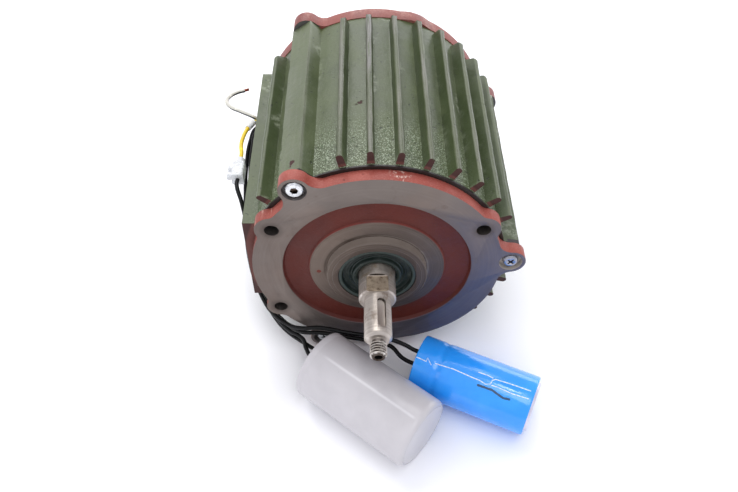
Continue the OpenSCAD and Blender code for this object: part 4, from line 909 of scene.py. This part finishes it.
# Its thread is one helical ridge on a plain core.
ridge_y = -0.0538
root_r = 0.0043
crest_r = 0.00488
turns = 4.9
thread_core = turned("shaft_end_core", shaft_steel, (
    (0.01, -52.45), (3.8, -52.45), (3.8, -62.4), (3.55, -62.85), (3, -63), (2.6, -62.95),
    (2.1, -62.3), (2.1, -58), (0.01, -57)), 64)
bpy.ops.object.select_all(action="DESELECT")
bpy.ops.mesh.primitive_plane_add(size=1.0, location=(0.0045, ridge_y, 0.0))
thread = bpy.context.active_object
thread.name = thread.data.name = "shaft_thread"
bpy.ops.object.transform_apply()
with edited():
    bpy.ops.transform.resize(value=(0.0014, 0.00122, 1.0), center_override=(root_r, ridge_y, 0.0))
for vertex in thread.data.vertices:
    if vertex.co.x > 0.0046:
        vertex.co.y = ridge_y + (vertex.co.y - ridge_y) * 0.25
        vertex.co.x = crest_r
with edited():
    bpy.ops.mesh.delete(type="ONLY_FACE")
modify(thread, "SCREW", axis="Y", angle=math.radians(360.0 * turns), screw_offset=-0.0084,
       steps=220, render_steps=220)
with edited():
    bpy.ops.mesh.fill_holes(sides=0)
    bpy.ops.mesh.select_all(action="SELECT")
    bpy.ops.mesh.normals_make_consistent(inside=False)
bpy.ops.object.shade_smooth_by_angle(angle=math.radians(35))
thread.data.materials.append(shaft_steel)
for piece in (shaft, thread_core, thread):
    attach(piece, "rotor")
    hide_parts("shaft")

# The screws: zinc-plated steel, one hexagon socket head and two cross recessed pan heads in front,
# three more at the rear, each down in its counterbore against the ear.
zinc, shader, where = fresh("zinc_steel", rough=0.28, metal=1.0)
film = noise(where, 380.0, 61.0, rough=0.55)
around, depth = stretched(where, (1.0, 0.0, 1.0)), part(where, "Y")
recesses = [
    times(ramp(away(around, on_circle(ear_circle_r, turn)), outer, inner), ramp(depth, top, deep),
          ramp(depth, 0.01, 0.008))
    for turn, outer, inner, top, deep in (
        (124.2, 0.0031, 0.0028, 0.0005, 0.0009), (4.2, 0.0027, 0.0024, 0.0006, 0.001),
        (244.2, 0.0027, 0.0024, 0.0006, 0.001))]
colour = layers(
    blend(ramp(film, 0.4, 0.62), (222, 224, 226), (200, 202, 204)),
    (ramp(noise(where, 700.0, 63.0), 0.62, 0.7), (120, 104, 88)),
    (use(edge_wear_and_glint, Vector=where, Reach=0.6)["Mask"], (240, 240, 240)),
    # Painted shade with a blue cast, like the painted reflection low on the shield's right, on the
    # screws at the right ears
    (times(ramp(part(where, "X"), 0.06, 0.066), 0.85), (150, 150, 160)),
    # Painted shade down in the hex socket and the cross recesses
    (most(*recesses), blend(ramp(film, 0.4, 0.6), (58, 48, 40), (104, 92, 82))))
dress(shader, colour, ramp(film, 0.35, 0.7, 0.22, 0.42), film, 0.00005)
for name in ("front_socket_screw", "front_cross_screws", "rear_shield_screws"):
    screw = copy_of(name, name + "_zinc", zinc)
    soften(screw, 0.00025, 0.0001, 2)
    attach(screw, "stator")
    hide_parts(name)

# The run capacitor: a smooth moulded case of light grey plastic with a rounded far edge, filled from
# the lead end with dark resin that the two leads come out of.
run_cap_r = 0.02275
run_cap_end = (-0.037, -0.0265)
run_cap_turn = -38.5


def seen_from(where, spot):
    """A place, counted from a spot."""
    return vector("SUBTRACT", where, spot)[0]


cap_grey, shader, where = fresh("grey_plastic", rough=0.42)
cloud = noise(where, 40.0, 71.0, 4.0)
beside = seen_from(where, (*run_cap_end, ground + run_cap_r))
across, onward = toward(beside, (0.6225, 0.7826, 0.0)), toward(beside, (0.7826, -0.6225, 0.0))
# A painted highlight: a soft light line along the upper side of the case
glint_line = times(ramp(size(plus(across, 0.0043)), 0.0014, 0.0001), ramp(part(beside, "Z"), 0.0, 0.01),
             ramp(onward, 0.006, 0.016), ramp(onward, 0.079, 0.076), ramp(cloud, 0.3, 0.6, 0.4, 0.75))
colour = layers(blend(ramp(cloud, 0.35, 0.65), (190, 187, 190), (198, 195, 198)),
                (ramp(noise(where, 420.0, 73.0, 5.0, 0.7), 0.66, 0.74, 0.0, 0.6), (140, 137, 132)),
                (glint_line, (222, 220, 223)))
shader.inputs["Coat Weight"].default_value = 0.35
shader.inputs["Coat Roughness"].default_value = 0.12
dress(shader, colour, ramp(cloud, 0.3, 0.7, 0.36, 0.5),
      plus(noise(where, 1500.0, 75.0, 2.0, 0.5), cloud), 0.00005)


def lay_down(piece, at, turn, radius):
    """Takes a piece turned about the shaft line to where it lies on the floor."""
    piece.data.transform(Matrix.Translation((*at, ground + radius))
                         @ Matrix.Rotation(math.radians(turn - 90.0), 4, "Z"))


run_case = turned("run_capacitor_shell", cap_grey, (
    (0.01, 2.5), (21.15, 2.5), (21.15, 0.3), (21.3, 0.05), (21.6, 0), (22.3, 0), (22.6, 0.15),
    (22.75, 0.5), (22.75, 4), (22.68, 4.2), (22.68, 4.5), (22.75, 4.7), (22.75, 78), (22.62, 79.6),
    (22.2, 80.7), (21.5, 81.5), (20.9, 81.8), (20.6, 81.85), (20.35, 81.5), (20.05, 81.5),
    (19.8, 81.9), (19.2, 82), (0.01, 82)))
lay_down(run_case, run_cap_end, run_cap_turn, run_cap_r)
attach(run_case, "stator")
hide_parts("run_capacitor_case")

# The start capacitor: an aluminium can in a blue shrink sleeve that grips its rolled groove and laps
# a little over both ends, with the leads coming through a dark header.
start_cap_r = 0.019
start_cap_end = (0.0272, -0.0244)
start_cap_turn = -25.0
blue_film, shader, where = fresh("blue_sleeve", rough=0.22)
cloud = noise(where, 50.0, 81.0)

# A pen stroke on the film: how far each spot is from its nearest stretch
pen = metres((61.5, -50.9, -50.1), (69.7, -54.5, -50), (75.9, -59.4, -51.2), (79.5, -60.5, -50.9))
stroke = 1.0
for start, end in zip(pen, pen[1:]):
    run = Vector(end) - Vector(start)
    beside = seen_from(where, start)
    share = least(most(toward(beside, tuple(run / run.length_squared)), 0.0), 1.0)
    near = put("ShaderNodeVectorMath", {0: tuple(run), "Scale": share}, operation="SCALE")[0]
    stroke = least(stroke, away(beside, near))
ink = ramp(plus(stroke, times(noise(where, 900.0, rough=0.55), 0.0006)), 0.0012, 0.0008)
colour = layers(blend(ramp(cloud, 0.35, 0.65), (34, 150, 253), (46, 158, 255)),
                (times(ink, 0.9), (36, 50, 52)))
shader.inputs["Coat Weight"].default_value = 0.4
shader.inputs["Coat Roughness"].default_value = 0.06
ripple = plus(noise(where, 120.0, 83.0, 2.0, 0.5), times(noise(where, 900.0, 0.0, 2.0, 0.55), 0.15))
dress(shader, colour, ramp(cloud, 0.3, 0.7, 0.12, 0.2), ripple, 0.0003)
sleeve = turned("start_capacitor_film", blue_film, (
    (16, 0.4), (16, 0.1), (16.2, 0), (18.2, 0), (18.7, 0.15), (18.95, 0.6), (19, 1.2), (19, 11.6),
    (18.95, 12.6), (18.8, 13.5), (18.62, 14.3), (18.55, 15), (18.55, 15.6), (18.62, 16.3),
    (18.8, 17.1), (18.95, 18), (19, 19), (19, 74.6), (18.9, 75.4), (18.6, 75.85), (18, 76),
    (16.3, 76), (16, 75.9), (16, 75.6), (18.4, 75.55), (18.6, 74.8), (18.6, 18.5), (18.45, 17.6),
    (18.05, 17), (17.7, 16.4), (17.6, 15.7), (17.6, 14.9), (17.7, 14), (18.1, 13.3), (18.5, 12.5),
    (18.6, 12), (18.6, 1.3), (18.4, 0.5), (16, 0.4)))
lay_down(sleeve, start_cap_end, start_cap_turn, start_cap_r)
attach(sleeve, "stator")
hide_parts("start_capacitor_sleeve")

# Creases in the film where it folded as it shrank on the can. Each is a thin ridge along its fold,
# painted near white as a painted highlight.
crease_highlight_film = filmed("creased_sleeve_highlight", 0.3, 0.0, (700.0, 85.0), (196, 222, 250), (250, 252, 254),
                     (0.2, 0.4), 0.00006, (0.4, 0.6))
folds = []
for points in (
    metres((24.84, -31.22, -48.99), (28, -32.86, -49.05), (30.62, -34.33, -49.15),
           (31.77, -32.34, -48.33), (33.72, -36.83, -49.6)),
    metres((36.2, -36, -49), (47.31, -40.44, -48.57), (56.48, -45.31, -48.76),
           (62.53, -48.35, -48.83), (66, -50.84, -49.16), (69.07, -51.11, -48.74),
           (70.29, -48.9, -48.01), (72.42, -48.45, -47.78), (77.45, -50.34, -47.72),
           (84.91, -53.41, -47.68), (92.78, -56.81, -47.66)),
    metres((62.41, -43.3, -47.72), (67.98, -45.68, -47.69), (70.94, -47.61, -47.76)),
    metres((69.54, -51.75, -48.88), (73.53, -53.48, -48.83), (81.39, -57.7, -49.03),
           (90.72, -61.42, -48.81)),
):
    fold = wire("start_capacitor_crease", points, crease_highlight_film, 0.00062)
    for point in fold.data.splines[0].bezier_points:
        point.handle_left_type = point.handle_right_type = "VECTOR"
    folds.append(fold)
crease = joined("start_capacitor_creases", folds)
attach(crease, "stator")
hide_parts("start_capacitor_sleeve")

# The can itself: drawn aluminium, with a rolled groove that holds the header, and a pressed base that
# stands a little out of the film.
bare_can = filmed("drawn_aluminium", 0.35, 0.7, (300.0, 87.0), (198, 196, 210), (232, 230, 240),
                  (0.3, 0.5), 0.00005)
can = turned("start_capacitor_shell", bare_can, (
    (0.01, 2.6), (17.6, 2.6), (18.3, 3.2), (18.35, 12), (18.1, 13), (17.45, 14), (17.3, 15.2),
    (17.45, 16.4), (18.1, 17.6), (18.35, 18.6), (18.35, 75.2), (17.9, 75.5), (15.7, 75.6),
    (15.55, 76.3), (15.3, 77), (14.7, 77.4), (13.9, 77.3), (13.3, 76.9), (12.4, 76.7), (0.01, 76.7)))
lay_down(can, start_cap_end, start_cap_turn, start_cap_r)
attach(can, "stator")
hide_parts("start_capacitor_can")

# The rotor's cage: aluminium, cast in one shot through and round the stack of steel sheets, which it
# holds together.
cage_alloy, shader, where = fresh("cast_aluminium", rough=0.4, metal=0.9)
skin = use(cast_skin, Vector=where, Grain=0.4)
colour = layers(blend(ramp(skin["Cloud"], 0.35, 0.65), (158, 160, 162), (182, 184, 186)),
                (use(edge_wear_and_glint, Vector=where, Reach=0.6)["Mask"], (214, 216, 218)))
dress(shader, colour, ramp(skin["Cloud"], 0.3, 0.7, 0.34, 0.52), skin["Height"], 0.0001)
paint(cage_alloy, "rotor_cage")

# The ball bearings: ground and polished chrome steel races and balls, with riveted brass cages. They
# are pressed on the shaft and sit in the bores of the shields.
race_steel, shader, where = fresh("bearing_steel", rough=0.16, metal=1.0)
marks = use(turned_marks, Polar=use(round_shaft, Vector=where)["Polar"], Pitch=4200.0)
film = noise(where, 140.0, 101.0, rough=0.5)
dress(shader, blend(film, (186, 188, 192), (206, 206, 208)), ramp(film, 0.3, 0.7, 0.12, 0.24),
      marks["Height"], 0.00002)
brass = filmed("cage_brass", 0.3, 1.0, (300.0, 103.0, 4.0), (196, 160, 92), (166, 126, 66),
               (0.24, 0.45), 0.00004, (0.35, 0.7))
for bearing in ("front_bearing", "rear_bearing"):
    paint(race_steel, bearing + "_outer_race", bearing + "_inner_race", bearing + "_balls")
    paint(brass, bearing + "_cage")

# The spring parts: a waved steel washer that loads the rear bearing, and the seal's garter spring, a
# fine coil closed into a ring round the lip.
spring = filmed("spring_steel", 0.3, 1.0, (500.0, 107.0), (96, 98, 108), (150, 150, 154), (0.2, 0.4),
                0.00003)
paint(spring, "preload_washer", "seal_garter_spring")

# The centrifugal switch: a pressed base and two swinging weights that draw a moulded spool along the
# shaft, and a spring arm on a laminated plate that the spool lets go of, to cut out the start coils.
pressed, shader, where = fresh("sheet_steel", rough=0.34, metal=0.95)
film = noise(where, 240.0, 111.0, 4.0)
colour = layers(blend(ramp(film, 0.35, 0.65), (176, 168, 140), (196, 192, 176)),
                (use(edge_wear_and_glint, Vector=where, Reach=0.7)["Mask"], (222, 222, 220)))
dress(shader, colour, ramp(film, 0.3, 0.7, 0.28, 0.46), film, 0.00005)
paint(pressed, "governor_base", "governor_pivot_pins", "governor_weight_a", "governor_weight_b",
      "contact_arm_pin", "switch_plate_screws")
moulded = filmed("black_plastic", 0.4, 0.0, (600.0, 113.0), (24, 24, 26), (40, 40, 42),
                 (0.32, 0.5), 0.00006)
paint(moulded, "governor_spool")
board, shader, where = fresh("phenolic_board", rough=0.45)
weave = put("ShaderNodeTexWave", {"Vector": where, "Scale": 160.0, "Distortion": 5.0, "Detail": 3.0},
            wave_type="BANDS", bands_direction="X")["Fac"]
dress(shader, blend(weave, (98, 56, 28), (124, 76, 40)), ramp(weave, 0.0, 1.0, 0.38, 0.52),
      weave, 0.00005)
paint(board, "switch_plate")
paint(brass, "contact_arm", "fixed_contact")

# What the leads come through at the capacitors: dark resin poured into the grey case, and a dark
# header that closes the can under its blue sleeve.
resin = filmed("potting_resin", 0.35, 0.0, (180.0, 117.0, 4.0), (34, 34, 38), (58, 58, 60),
               (0.25, 0.5), 0.0002)
paint(resin, "run_capacitor_potting", "start_capacitor_header")

# The terminal block: clear moulded plastic round a brass tube, with a screw tower for each wire. It
# hangs between the two wires that it joins.
clear = filmed("clear_plastic", 0.28, 0.0, (300.0, 121.0), (238, 241, 244), (250, 251, 252),
               (0.2, 0.4), 0.00005)
shader = clear.node_tree.nodes["Principled BSDF"]
shader.inputs["Transmission Weight"].default_value = 0.35
shader.inputs["IOR"].default_value = 1.46
block = copy_of("terminal_block_body", "terminal_block_shell", clear)
soften(block, 0.0004, 0.0003, 2)
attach(block, "stator")
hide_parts("terminal_block_body")
paint(brass, "terminal_block_tube")
paint(zinc, "terminal_block_screws")

# The yellow supply lead: the same soft wire, through a short clear sleeve where it leaves the frame,
# with its bare end clamped in the terminal block.
paint(clear, "yellow_lead_sleeve")
yellow_pvc = insulation("yellow_insulation_finish", tone(226, 190, 40), 0.4, 11.0)
yellow_route = metres(
    (-62.2, 131, 5), (-82, 131, 6.5), (-85.5, 129, 8.5), (-89, 119.5, 10), (-91.3, 109, 10),
    (-91.6, 102, 10), (-90.5, 94, 10), (-90.5, 87.5, 10))
yellow_lead = wire("yellow_lead_wire", yellow_route, yellow_pvc)
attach(yellow_lead, "stator")
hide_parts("yellow_lead")
